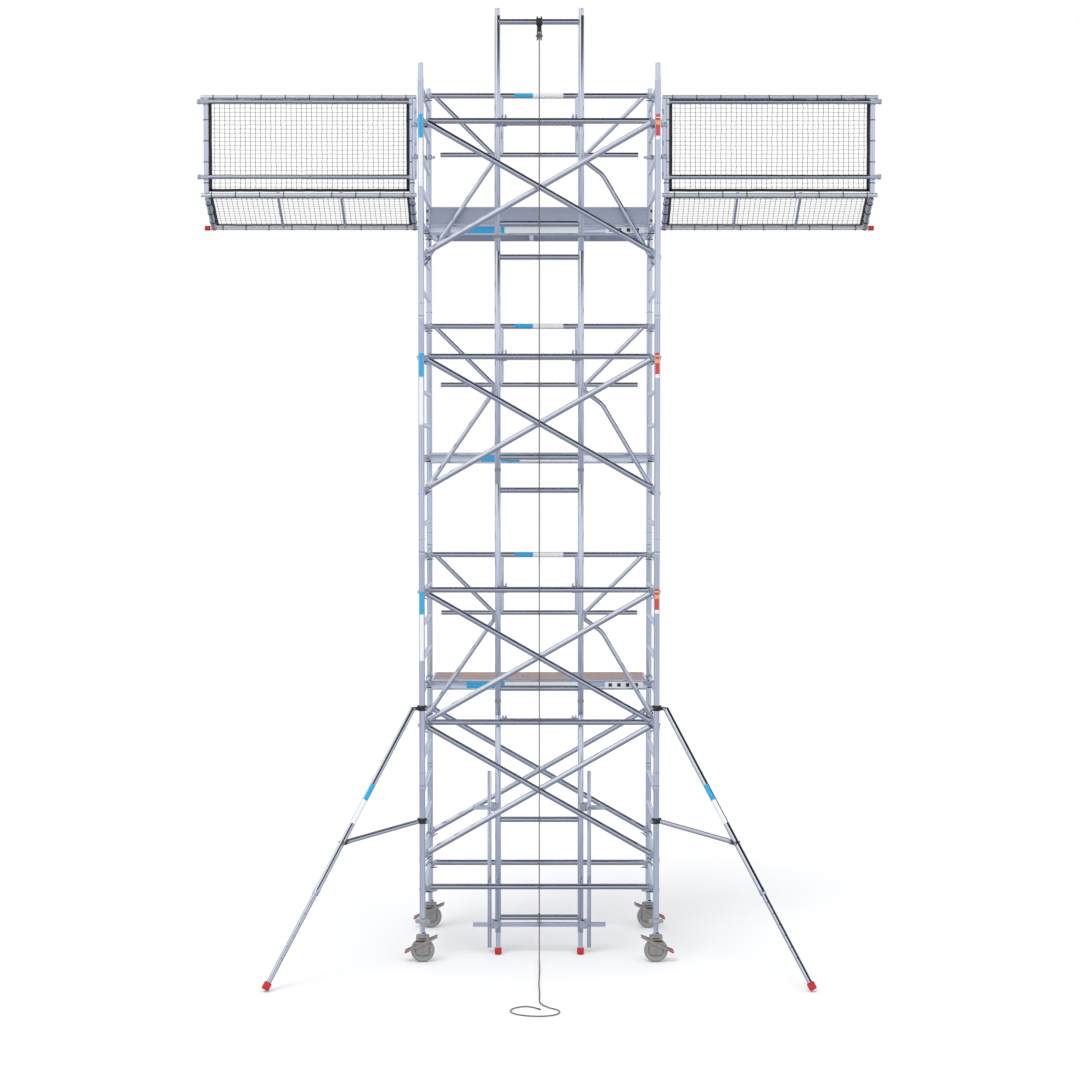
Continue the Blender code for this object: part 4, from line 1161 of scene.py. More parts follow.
def make_hatch(number, z):
    low_x, high_x, near_y, far_y = HATCH
    body = f"hatch_{number}"
    edge = 0.003
    hole_x, hole_y = high_x - 0.045, (near_y + far_y) / 2
    panel = Shape()
    board(panel, point(low_x + edge, near_y + edge, z + 0.0332),
          point(high_x - edge, far_y - edge, z + 0.0449),
          (hole_x - 0.012, hole_x + 0.012, NEAR_Y + hole_y - 0.035, NEAR_Y + hole_y + 0.035))
    panel.piece(body + "_panel", body, DECK, body)
    lining = Shape()
    board(lining, point(low_x + edge, near_y + edge, z + 0.0326),
          point(high_x - edge, far_y - edge, z + 0.0331),
          (hole_x - 0.012, hole_x + 0.012, NEAR_Y + hole_y - 0.035, NEAR_Y + hole_y + 0.035))
    lining.piece(body + "_underside", body, GREY_FILM)
    trim = Shape()
    rim = [(hole_x - 0.015, hole_y - 0.039), (hole_x + 0.015, hole_y - 0.039),
           (hole_x + 0.015, hole_y + 0.039), (hole_x - 0.015, hole_y + 0.039)]
    route = [point(x, y, z + 0.0452) for x, y in rim]
    for a, b in zip(route, route[1:] + route[:1]):
        trim.bar(a, b, 0.0018, sides=8, bevel=0.0005)
    for y in (near_y + 0.07, far_y - 0.07):
        trim.block(point(low_x + 0.004, y - 0.03, z + 0.0447), point(low_x + 0.046, y + 0.03, z + 0.0464),
                   0.0006)
        trim.bar(point(low_x + edge, y - 0.03, z + 0.0445), point(low_x + edge, y + 0.03, z + 0.0445),
                 0.0034, sides=12)
        for dy in (-0.018, 0.018):
            trim.lathe(point(low_x + 0.03, y + dy, z + 0.0462), point(low_x + 0.03, y + dy, z + 1),
                       mm((0, 4.5), (0.8, 4), (1.2, 1.5)), 10)
    trim.piece(body + "_hinge_leaves", body, STEEL, body)


def make_toe_board():
    top = DECK_RUNGS[-1] + 0.045
    front = DECK_NEAR - 0.029
    profile = Shape()
    place = facing_x(point(0, front, top))
    section = mm((0, 1), (22, 1), (22, 145), (0, 145), (0, 126), (2, 124), (2, 24), (0, 22))
    profile.prism(section, -0.949, 0.949, place, 0.0012)
    profile.piece("toe_board_profile", "tower", GREY_FILM, "toe_board", slot="aluminium")
    ends, clips = Shape(), Shape()
    for sign in (-1, 1):
        at = points_of(sign)
        for low in (0.018, 0.098):
            clips.block(at(0.951, front - 0.006, top + low),
                        at(0.969, front, top + low + 0.022), 0.001)
        ends.block(at(0.932, front - 0.004, top - 0.003),
                   at(0.97, front + 0.026, top + 0.125), 0.003)
        for z in (0.03, 0.095):
            ends.bolt(at(0.942, front - 0.004, top + z), (0, -1, 0), 0.006, 0.003)
    ends.piece("toe_board_ends", "tower", CAST, "toe_board")
    clips.piece("toe_board_clips", "tower", BLACK)


def make_platforms():
    for number, z in enumerate(DECK_RUNGS, 1):
        make_platform(number, z)
    make_toe_board()


# --- guard-rail frames ---
def make_guard_rail(number, rung_z):
    top = rung_z + RAIL_LIFT
    node = f"guard_rail_frame_{number}"
    knee = top - KNEE_DROP
    y = RAIL_Y
    tubes = Shape()
    tubes.bar(point(-POST_X + 0.062, y, top), point(POST_X - 0.062, y, top), RAIL_R, sides=28)
    tubes.bar(point(-0.845, y, knee), point(0.845, y, knee), 0.02, hollow=0.002, sides=28)
    struts, joints, fittings, latches = Shape(), Shape(), Shape(), Shape()
    claw(fittings, latches, point(-POST_X, y, rung_z), RIGHT, RAIL_R, RAIL_LIFT)
    claw(fittings, latches, point(POST_X, y, rung_z), -RIGHT, RAIL_R, RAIL_LIFT)
    for sign in (-1, 1):
        at = points_of(sign)
        tubes.bar(at(0.324, y, knee), at(0.324, y, top), 0.019, sides=24)
        tubes.bar(at(0.885, y, top - 0.012), at(0.385, y, knee - 0.008), 0.0185,
                  sides=24)
        bolt = at(0.39, y, knee - 0.056)
        rung = at(POST_X, y, rung_z - STRUT_DROP)
        bends = [bolt, rung]
        if sign > 0:
            kink = point(0.54, y, knee - 0.166)
            into, away = (bolt - kink).normalized(), (rung - kink).normalized()
            bends = [bolt]
            for i in range(7):
                t = i / 6
                a, b = kink + into * 0.045, kink + away * 0.045
                bends.append(a.lerp(kink, t).lerp(kink.lerp(b, t), t))
            bends.append(rung)
        way = (rung - bends[-2]).normalized()
        bends[-1] = rung - way * 0.05
        struts.sweep(bends, 0.019, 24)
        for face in (-1, 1):
            joints.block(at(0.372, y + face * 0.0195 - 0.002, knee - 0.076),
                         at(0.408, y + face * 0.0195 + 0.002, knee + 0.012), 0.001)
            joints.bolt(at(0.39, y + face * 0.0215, knee - 0.056), (0, face, 0), 0.0075)
            joints.bolt(at(0.39, y + face * 0.0215, knee), (0, face, 0), 0.006)
        low, high = (95, 290) if sign > 0 else (-110, 85)
        place = facing_y(rung)
        outline = open_ring(HOOK_R, 0.0312, low, high, 14, 20)
        fittings.prism(outline, -0.019, 0.019, place, 0.002)
        fittings.lathe(rung - way * 0.064, rung, mm(
            (0, 18), (3, 20.2), (14, 20.2), (20, 18.5), (36, 15.5), (40, 15),
        ), 20)
        lock = placed(rung, -way, (0, 1, 0))
        latches.paint = 0
        latches.block((0.026, -0.006, -0.024), (0.06, 0.006, -0.017), 0.001, lock)
    tubes.piece(f"guard_rail_{number}_tubes", "tower", ALUMINIUM, node)
    struts.piece(f"guard_rail_{number}_struts", "tower", ALUMINIUM, node)
    joints.piece(f"guard_rail_{number}_strut_plates", "tower", STEEL, node)
    fittings.piece(f"guard_rail_{number}_claws", "tower", CAST, node)
    latches.piece(f"guard_rail_{number}_latches", "tower", [BLACK, OLIVE], node)
    for name, colour, x0, x1 in (("cyan", CYAN, -0.21, -0.055), ("white", WHITE, -0.054, 0.205)):
        film = Shape()
        arc = [math.radians(118 + 118 * i / 10) for i in range(11)]
        outline = [(0.0229 * math.cos(a), 0.0229 * math.sin(a)) for a in arc]
        outline += [(0.0222 * math.cos(a), 0.0222 * math.sin(a)) for a in reversed(arc)]
        film.prism(outline, x0, x1, facing_x(point(0, y, top)), 0)
        film.piece(f"guard_rail_{number}_{name}_film", "tower", colour)


# --- hoist ladder ---
def make_ladder():
    y = NEAR_Y + LADDER_Y
    caps, bands = Shape(), Shape()
    for number, (low, high) in enumerate(zip(LADDER_JOINTS, LADDER_JOINTS[1:]), 1):
        node = "hoist_ladder_lower" if number < 3 else "hoist_ladder_upper"
        section = Shape()
        rungs = [z for z in LADDER_RUNGS if low < z < high]
        length = high - low
        for sign in (-1, 1):
            x = sign * STILE_X
            section.lathe((x, y, low), (x, y, high), [
                (0.04, 0.0222), (0.0004, 0.0222), (0.0004, 0.0244), (0.0014, STILE_R),
                (length - 0.0014, STILE_R),
                (length - 0.0004, 0.0244), (length - 0.0004, 0.0215), (length + 0.05, 0.0215),
                (length + 0.06, 0.02), (length + 0.06, 0.0182), (length + 0.03, 0.0182),
            ], 32)
            for z in rungs:
                weld(section, (x, y, z), LADDER_RUNG_R, STILE_R, -sign, 0)
            if number > 1:
                joint = low + 0.12
                bands.lathe((x, y, joint - 0.0125), (x, y, joint), mm(
                    (0, 25.2), (0, 26.6), (1, 27.3), (24, 27.3), (25, 26.6), (25, 25.2),
                ), 32)
                pin = Vector((x, y - 0.0268, joint))
                bands.bar(pin, pin + Vector((0, -0.004, 0)), 0.0045, sides=12)
        for z in rungs:
            section.bar((-STILE_X + 0.022, y, z), (STILE_X - 0.022, y, z), LADDER_RUNG_R, sides=48,
                        flutes=0.03)
        if number == 1:
            for sign in (-1, 1):
                section.bar((sign * STILE_X, y, 0.05), (sign * STILE_X, y, 0.215), 0.0205, sides=28)
        section.piece(f"hoist_ladder_section_{number}", "tower", ALUMINIUM, node)
    for sign in (-1, 1):
        caps.lathe((sign * STILE_X, y, 0.0), (sign * STILE_X, y, 0.06), mm(
            (0, 20), (1, 25.5), (5, 29), (14, 30), (46, 29.8), (54, 28), (58, 23.5), (58, 20.6),
        ), 32)
    caps.piece("hoist_ladder_foot_caps", "tower", RED, "hoist_ladder_lower")
    bands.piece("hoist_ladder_joint_bands", "tower", CASTER, ("hoist_ladder_lower", "hoist_ladder_upper"),
                slot="dark_metal")

    brace_y = BRACE_PLANES[2]
    for level, rung_z in enumerate(COUPLER_Z, 1):
        z = rung_z + BRACE_LIFT
        node = "hoist_ladder_lower" if level < 3 else "hoist_ladder_upper"
        for side, sign in SIDES:
            x = sign * COUPLER_X
            cast, bolts = Shape(), Shape()
            place = facing_x(point(x, brace_y, z))
            hook = open_ring(0.0246, 0.0335, -35, 110, 12, 16)
            for start, end in ((-0.024, -0.006), (0.006, 0.024)):
                cast.prism(hook, start, end, place, 0.0015)
            cast.block(point(x - 0.021, brace_y + 0.03, z - 0.0105),
                       point(x + 0.021, LADDER_Y - 0.026, z + 0.0105), 0.002)
            clamp = facing_x(point(x, LADDER_Y, rung_z + 0.012))
            cast.prism(open_ring(0.0236, 0.031, 20, 340, 20, 24), -0.021, 0.021,
                       clamp, 0.0015)
            for dx in (-0.013, 0.013):
                stud = point(x + dx, brace_y + 0.008, z + 0.028)
                bolts.bar(stud, stud + Vector((0, 0, 0.03)), 0.0055, sides=14)
                bolts.bolt(stud + Vector((0, 0, 0.012)), (0, 0, 1), 0.0085, 0.009)
            bolts.bolt(point(x, brace_y + 0.048, z + 0.0105), (0, 0, 1), 0.0065, 0.005)
            cast.piece(f"{side}_ladder_coupler_{level}", "tower", CAST, node)
            bolts.piece(f"{side}_ladder_coupler_bolts_{level}", "tower", STEEL, node)


def make_pulley():
    y = NEAR_Y + LADDER_Y
    rung = LADDER_RUNGS[-1]
    black, strap = Shape(), Shape()
    place = facing_x((0, y, rung))
    black.prism(open_ring(0.0237, 0.0325, -62, 242, 20, 26), -0.025, 0.025, place, 0.0015)
    for sign in (-1, 1):
        tip = facing_x((sign * 0.017, y, rung))
        black.prism(mm((-22, 26), (-19, 41), (-10, 44), (-4, 34)), -0.006, 0.006,
                    tip, 0.0012)
    strap.block((-0.0195, y - 0.005, rung - 0.076), (0.0195, y + 0.005, rung - 0.026), 0.0012)
    strap.block((-0.0155, y - 0.0195, SHEAVE_Z + 0.036), (0.0155, y + 0.0195, SHEAVE_Z + 0.0425), 0.001)
    for z in (rung - 0.04, rung - 0.062):
        strap.bolt((0, y - 0.005, z), (0, -1, 0), 0.0055, 0.003)
    cheek = mm((-22, -30), (-12, -36), (12, -36), (22, -30), (24, 0), (22, 39.5), (-22, 39.5), (-24, 0))
    for sign in (-1, 1):
        black.prism(cheek, -0.005, 0.005, facing_x((sign * 0.016, y, SHEAVE_Z)), 0.0012)
    pin = Shape()
    pin.bar((-0.023, y, SHEAVE_Z), (0.023, y, SHEAVE_Z), 0.005, sides=16)
    for sign in (-1, 1):
        pin.bolt((sign * 0.021, y, SHEAVE_Z), (sign, 0, 0), 0.009, 0.008)
    black.piece("pulley_block", "tower", BLACK, "pulley_bracket")
    strap.piece("pulley_strap", "tower", BLACK, "pulley_bracket")
    pin.piece("pulley_pin", "tower", STEEL, "pulley_bracket")
    sheave = Shape()
    sheave.lathe((-0.009, y, SHEAVE_Z), (0.009, y, SHEAVE_Z), mm(
        (0, 6.2), (0, 28.5), (1.2, 29.8), (2.6, 29), (4.2, 24), (6, 21.6), (9, 20.8), (12, 21.6), (13.8, 24),
        (15.4, 29), (16.8, 29.8), (18, 28.5), (18, 6.2),
    ), 48)
    sheave.piece("pulley_wheel", "pulley_sheave", BLACK, "pulley_sheave")


# --- carriage ---
def make_carriage():
    body, node = "hoist_carriage", "hoist_carriage"

    def at(x, y, z):
        """A point given by its distance behind the ladder and its height over the cross bar."""
        return point(x, LADDER_Y + y, CARRIAGE_Z + z)

    rails = Shape()
    square = mm(
        (-17, -17), (-6, -17), (-4.5, -15.5), (4.5, -15.5), (6, -17), (17, -17), (17, 17), (6, 17),
        (4.5, 15.5), (-4.5, 15.5), (-6, 17), (-17, 17),
    )
    rails.prism(square, -0.565, 0.565, facing_x(at(0, 0.08, 0)), 0.0012)
    for sign in (-1, 1):
        rails.prism(square, -0.757, 0.757, placed(at(sign * 0.425, 0.06, 0.566), (1, 0, 0), (0, 1, 0)),
                    0.0012)
        rails.prism(square, -0.0975, 0.0975, facing_x(at(sign * 0.4675, 0.079, 1.008)), 0.0012)
    rails.piece("carriage_rails", body, ALUMINIUM, node)
    guides, bolts, plugs = Shape(), Shape(), Shape()
    for sign in (-1, 1):
        for z in (0.023, 1.028):
            low, high = z - 0.033, z + 0.033
            guides.block(at(sign * 0.382, -0.04, low), at(sign * 0.4078, 0.059, high), 0.002)
            guides.block(at(sign * 0.346, -0.042, low + 0.002), at(sign * 0.404, -0.0288, high - 0.002),
                         0.003)
            guides.block(at(sign * 0.331, 0.0295, low + 0.002), at(sign * 0.404, 0.0455, high - 0.002),
                         0.003)
            for rise in (-0.018, 0.018):
                bolts.bolt(at(sign * 0.393, -0.042, z + rise), (0, -1, 0), 0.0065, 0.0045)
        for z in (0.0, 1.008):
            bolts.bolt(at(sign * 0.425, 0.042, z), (0, -1, 0), 0.0085, 0.006)
        for end, inside in ((-0.191, 0.004), (1.323, -0.004)):
            plugs.block(at(sign * 0.425 - 0.0165, 0.0435, end + inside),
                        at(sign * 0.425 + 0.0165, 0.0765, end), 0.0015)
        plugs.block(at(sign * 0.561, 0.0635, -0.0165), at(sign * 0.5662, 0.0965, 0.0165), 0.0015)
        plugs.block(at(sign * 0.561, 0.0625, 0.9915), at(sign * 0.5662, 0.0955, 1.0245), 0.0015)
    guides.piece("carriage_guides", body, CAST, node)
    bolts.piece("carriage_bolts", body, STEEL, node)
    plugs.piece("carriage_end_plugs", body, BLACK, node)
    eye = Shape()
    centre = at(0, 0.08, 0.0345)
    eye.sweep([centre + Vector((x, 0, z)) for x, z in circle(0.015, 24)], 0.0042, 12, loop=True)
    eye.bar(at(0, 0.08, 0.008), at(0, 0.08, 0.021), 0.0055, sides=16)
    eye.bolt(at(0, 0.08, 0.0172), (0, 0, 1), 0.0095, 0.004)
    eye.piece("carriage_eye_bolt", body, STEEL, node)
    knot = Shape()
    for i in range(5):
        turn = [at(x, 0.08 + y, 0.058 + 0.0082 * i + y / 6) for x, y in circle(0.0072, 16)]
        knot.sweep(turn, 0.0042, 8, loop=True)
    loop = [centre + Vector((0, 0.01 * c, 0.0145 + 0.0105 * h)) for c, h in circle(1.0, 20)]
    knot.sweep(loop, 0.0042, 8, loop=True)
    knot.piece("carriage_rope_knot", body, ROPE)


# --- net guards ---
def flap_point(x, reach, lift=0.0):
    """A point of the hinged flap, by its distance from the hinge and its height over the flap's plane."""
    y = reach * math.sin(FLAP_LEAN) + lift * math.cos(FLAP_LEAN)
    z = -reach * math.cos(FLAP_LEAN) + lift * math.sin(FLAP_LEAN)
    return point(x, FRAME_DEPTH + y, GUARD_LOW_Z + z)


def make_net(name, body, node, corner, across, up, width, height):
    """Knotted cord mesh; corner is the net's lower inner corner, across and up its directions."""
    columns, rows = round(width / NET_MESH[0]), round(height / NET_MESH[1])
    normal = across.cross(up).normalized()
    grid = []
    for i in range(rows + 1):
        line = []
        for j in range(columns + 1):
            inside = 0 < i < rows and 0 < j < columns
            drift_x = rng.uniform(-0.0022, 0.0022) if inside else 0.0
            drift_y = rng.uniform(-0.002, 0.002) if inside else 0.0
            sag = 0.004 * math.sin(math.pi * i / rows) * math.sin(math.pi * j / columns)
            line.append(corner + across * (width * j / columns + drift_x)
                        + up * (height * i / rows + drift_y - sag * 0.6) - normal * sag * 0.1)
        grid.append(line)
    shape = Shape()
    cord, upright = [[(r, 0), (0, r), (-r, 0), (0, -r)] for r in (NET_CORD_R, NET_UPRIGHT_R)]
    for line in grid[1:-1]:
        shape.sweep(line, NET_CORD_R, section=cord)
    for j in range(1, columns):
        shape.sweep([line[j] + normal * NET_CORD_R * 0.9 for line in grid], NET_UPRIGHT_R, section=upright)
    lengthwise = (up + across * 0.35).normalized()
    crosswise = normal.cross(lengthwise)
    for line in grid[1:-1]:
        for place in line[1:-1]:
            base = len(shape.points)
            tips = (crosswise * 0.0027, lengthwise * 0.011, crosswise * -0.0027, lengthwise * -0.011,
                    normal * 0.0025, normal * -0.0025)
            shape.points.extend(tuple(place + tip) for tip in tips)
            for a, b, c in ((0, 1, 4), (1, 2, 4), (2, 3, 4), (3, 0, 4), (1, 0, 5), (2, 1, 5), (3, 2, 5),
                            (0, 3, 5)):
                shape.face((base + a, base + b, base + c), [(0.0, 0.0)] * 3)
    shape.piece(name, body, NET, node, angle=80)

    border = Shape()
    corners = [(0.0, 0.0), (width, 0.0), (width, height), (0.0, height)]
    for (a, b), (c, d) in zip(corners, corners[1:] + corners[:1]):
        start, end = corner + across * a + up * b, corner + across * c + up * d
        way = (end - start).normalized()
        inward = normal.cross(way)
        place = placed(start, way, inward)
        length = (end - start).length
        count = max(4, round(length / 0.09))
        rings = []
        for i in range(count + 1):
            wave = 0.0018 * math.sin(i * math.pi) if i in (0, count) else rng.uniform(-0.0015, 0.0015)
            at = length * i / count
            rings.append([place @ Vector((at, v + wave, w)) for v, w in
                          ((-NET_EDGE * 0.3, -0.0012), (NET_EDGE * 1.7, -0.0012), (NET_EDGE * 1.7, 0.0012),
                           (-NET_EDGE * 0.3, 0.0012))])
        border.skin(rings, [0.0, 2 * NET_EDGE, 2 * NET_EDGE + 0.002, 4 * NET_EDGE, 4 * NET_EDGE + 0.002],
                    [length * i / count for i in range(count + 1)])
    border.piece(name + "_border", body, WEBBING, node)


def tie(shape, centre, way, radius, net_way):
    """A cord wound twice round a tube, with its knot on the net's side."""
    side, up = axes_for(way)
    for shift in (-0.0028, 0.0028):
        ring = []
        for i in range(14):
            a = 2 * math.pi * i / 14
            ring.append(centre + way * shift + (side * math.cos(a) + up * math.sin(a)) * (radius + 0.0018))
        shape.sweep(ring, 0.0019, 6, loop=True)
    knot = centre + net_way * (radius + 0.004)
    shape.ball(knot, 0.0052, 8)
    shape.bar(knot, knot + net_way * 0.012 + way * 0.003, 0.0018, sides=6, bevel=0.0005)


def make_guard_frame(side, sign):
    """Two bars and two upright tubes that the upper net is laced into."""
    node = f"{side}_guard_frame"
    at = points_of(sign)
    tubes, bars = Shape(), Shape()
    for z in (GUARD_TOP_Z, GUARD_LOW_Z):
        bars.bar(at(1.09, FRAME_DEPTH, z), at(3.0, FRAME_DEPTH, z), GUARD_BAR_R, hollow=0.002, sides=28)
    # The bars take the paler tube finish, a painted highlight.
    bars.piece(f"{side}_guard_bars", "tower", PAINTED_HIGHLIGHT_TUBE, node)
    for x in (GUARD_IN_X, GUARD_OUT_X):
        tubes.bar(at(x, FRAME_DEPTH, GUARD_LOW_Z + 0.014), at(x, FRAME_DEPTH, GUARD_TOP_Z - 0.014), STILE_R,
                  sides=32)
    tubes.piece(f"{side}_guard_tubes", "tower", ALUMINIUM, node)


def make_guard_rails(side, sign):
    """Two telescopic rails in front of the frame, with their pins and claws."""
    node = f"{side}_guard_frame"
    at = points_of(sign)
    rails, tips, bolts, claws = Shape(), Shape(), Shape(), Shape()
    for z in GUARD_RAIL_HEIGHTS:
        rails.bar(at(2.02, GUARD_RAIL_Y, z), at(2.99, GUARD_RAIL_Y, z), 0.0185, sides=28)
        rails.bar(at(1.15, GUARD_RAIL_Y, z), at(2.06, GUARD_RAIL_Y, z), 0.021, hollow=0.002, sides=28)
        rails.block(at(1.085, GUARD_RAIL_Y - 0.006, z - 0.019), at(1.16, GUARD_RAIL_Y + 0.006, z + 0.019),
                    0.003)
        bolts.bolt(at(1.11, GUARD_RAIL_Y - 0.006, z), (0, -1, 0), 0.0085)
        bolts.bolt(at(1.11, GUARD_RAIL_Y + 0.006, z), (0, 1, 0), 0.0085)
        pin = at(2.025, GUARD_RAIL_Y - 0.021, z)
        bolts.bar(pin, pin + Vector((0, -0.012, 0)), 0.005, sides=12)
        ring = [pin + Vector((x, -0.01, lift - 0.009)) for x, lift in circle(0.011, 16)]
        bolts.sweep(ring, 0.0014, 6, loop=True)
        grip = placed(at(GUARD_OUT_X, FRAME_DEPTH, z), (0, -1, 0), (1, 0, 0))
        claws.prism(open_ring(0.0256, 0.033, 15, 345, 20, 24), -0.018, 0.018, grip, 0.0015)
        claws.block(at(2.925, GUARD_RAIL_Y - 0.019, z - 0.017), at(3.0, GUARD_RAIL_Y + 0.016, z + 0.017),
                    0.003)
        tips.block(at(2.99, GUARD_RAIL_Y - 0.017, z - 0.021), at(3.025, GUARD_RAIL_Y + 0.017, z + 0.021),
                   0.005)
        tips.block(at(2.995, GUARD_RAIL_Y - 0.024, z - 0.008), at(3.018, GUARD_RAIL_Y - 0.015, z + 0.008),
                   0.002)
    rails.piece(f"{side}_guard_rails", "tower", ALUMINIUM, node)
    claws.piece(f"{side}_guard_rail_claws", "tower", CAST, node)
    tips.piece(f"{side}_guard_rail_ends", "tower", CAST, node)
    bolts.piece(f"{side}_guard_bolts", "tower", STEEL, node)


def make_guard_mount(side, sign):
    """The tube that carries the rails, and its clamps on the tower's post."""
    node = f"{side}_guard_frame"
    at = points_of(sign)
    mount, clamps, clamp_bolts = Shape(), Shape(), Shape()
    mount.bar(at(1.104, GUARD_MOUNT_Y, 6.69), at(1.104, GUARD_MOUNT_Y, 7.392), 0.0205, hollow=0.002,
              sides=28)
    mount.piece(f"{side}_guard_mount_tube", "tower", ALUMINIUM, node)
    for z in GUARD_CLAMP_HEIGHTS:
        clamps.lathe(Vector((sign * POST_X, FAR_Y, z - 0.024)), Vector((sign * POST_X, FAR_Y, z)), mm(
            (4, 25.6), (4, 29.5), (6, 31), (42, 31), (44, 29.5), (44, 25.6),
        ), 32)
        clamps.block(at(1.01, FRAME_DEPTH - 0.032, z - 0.016), at(1.086, FRAME_DEPTH - 0.006, z + 0.016),
                     0.003)
        clamps.lathe(at(1.104, GUARD_MOUNT_Y, z - 0.02), at(1.104, GUARD_MOUNT_Y, z), mm(
            (0, 20.8), (0, 27.5), (2, 28.8), (38, 28.8), (40, 27.5), (40, 20.8),
        ), 28)
        for dx, y in ((POST_X - 0.044, FRAME_DEPTH), (POST_X + 0.046, FRAME_DEPTH - 0.04)):
            clamp_bolts.bolt(at(dx, y - 0.004, z), (0, -1, 0), 0.009, 0.01)
            clamp_bolts.bar(at(dx, y, z), at(dx, y + 0.012, z), 0.0045, sides=12)
    clamps.piece(f"{side}_guard_clamps", "tower", CAST, node)
    clamp_bolts.piece(f"{side}_guard_clamp_bolts", "tower", STEEL, node)


def make_upper_net(side, sign):
    """The net in the guard's frame, and the ties that lace it in."""
    at = points_of(sign)
    net_low, net_high = GUARD_LOW_Z + 0.034, GUARD_TOP_Z - 0.023
    corner = at(NET_INNER_X, FRAME_DEPTH, net_low)
    across = Vector((sign, 0, 0))
    make_net(f"{side}_upper_mesh", "tower", f"{side}_upper_net", corner, across, UP, NET_WIDTH,
             net_high - net_low)
    ties = Shape()
    for i in range(9):
        x = sign * (1.18 + 0.2135 * i)
        tie(ties, point(x, FRAME_DEPTH, GUARD_TOP_Z), RIGHT, GUARD_BAR_R, -UP)
        if i % 2 or not 1.7 < abs(x) < 2.4:
            tie(ties, point(x + sign * 0.02, FRAME_DEPTH, GUARD_LOW_Z), RIGHT, GUARD_BAR_R, UP)
    for x, inward in ((GUARD_IN_X, sign), (GUARD_OUT_X, -sign)):
        for i in range(4):
            z = 6.66 + 0.185 * i
            tie(ties, at(x, FRAME_DEPTH, z), UP, STILE_R, Vector((inward, 0, 0)))
    ties.piece(f"{side}_guard_ties", "tower", NET)


def make_flap(side, sign):
    """The flap that hangs from the lower bar, with its own net."""
    body = f"{side}_flap"
    flap, lower_bar = Shape(), Shape()
    lower_bar.bar(flap_point(sign * 1.09, FLAP_REACH), flap_point(sign * 3.02, FLAP_REACH), 0.017, sides=28)
    # The lower bar takes the paler tube finish, a painted highlight.
    lower_bar.piece(f"{side}_flap_lower_bar", body, PAINTED_HIGHLIGHT_TUBE, f"{side}_flap_frame")
    for x in (GUARD_IN_X, GUARD_OUT_X):
        flap.bar(flap_point(sign * x, 0.05), flap_point(sign * x, FLAP_REACH - 0.01), STILE_R, sides=32)
    hinges = Shape()
    lean = math.degrees(FLAP_LEAN) - 90
    for x in (1.76, 2.32):
        middle = sign * x
        flap.bar(flap_point(middle, 0.0225), flap_point(middle, FLAP_REACH - 0.01), 0.012, sides=20)
        place = facing_x(point(middle, FRAME_DEPTH, GUARD_LOW_Z))
        outline = open_ring(0.0197, 0.0268, lean - 108, lean + 108, 14, 18)
        hinges.prism(outline, -0.0145, 0.0145, place, 0.0012)
    flap.piece(f"{side}_flap_tubes", body, ALUMINIUM, f"{side}_flap_frame")
    hinges.piece(f"{side}_flap_hinge_hooks", body, CAST, f"{side}_flap_frame")
    caps = Shape()
    for x in (GUARD_IN_X, GUARD_OUT_X):
        start, end = flap_point(sign * x, FLAP_REACH - 0.012), flap_point(sign * x, FLAP_REACH + 0.01)
        caps.lathe(start, end,
                   mm((0, 25), (0, 26.6), (2, 27), (14, 26.6), (18, 23), (19, 12)), 28)
    caps.lathe(flap_point(sign * 2.985, FLAP_REACH), flap_point(sign * 3.04, FLAP_REACH), mm(
        (0, 17), (0, 21.8), (2, 22.5), (40, 22.5), (48, 20), (50, 10),
    ), 24)
    caps.piece(f"{side}_flap_caps", body, RED, f"{side}_flap_frame")
    origin = flap_point(sign * NET_INNER_X, 0.045, 0.014)
    down = (flap_point(0, 1.0) - flap_point(0, 0.0)).normalized()
    across = Vector((sign, 0, 0))
    make_net(f"{side}_flap_mesh", body, f"{side}_flap_net", origin, across, down, NET_WIDTH, 0.423)
    flap_ties = Shape()
    lift = (flap_point(0, 0.0, 1.0) - flap_point(0, 0.0)).normalized()
    for i in range(9):
        place = flap_point(sign * (1.2 + 0.2085 * i), FLAP_REACH)
        tie(flap_ties, place, RIGHT, 0.017, (lift * 0.7 - down * 0.7).normalized())
    for x, inward in ((GUARD_IN_X, sign), (GUARD_OUT_X, -sign)):
        for i in range(3):
            tie(flap_ties, flap_point(sign * x, 0.12 + 0.135 * i), down, STILE_R, Vector((inward, 0, 0)))
    flap_ties.piece(f"{side}_flap_ties", body, NET)


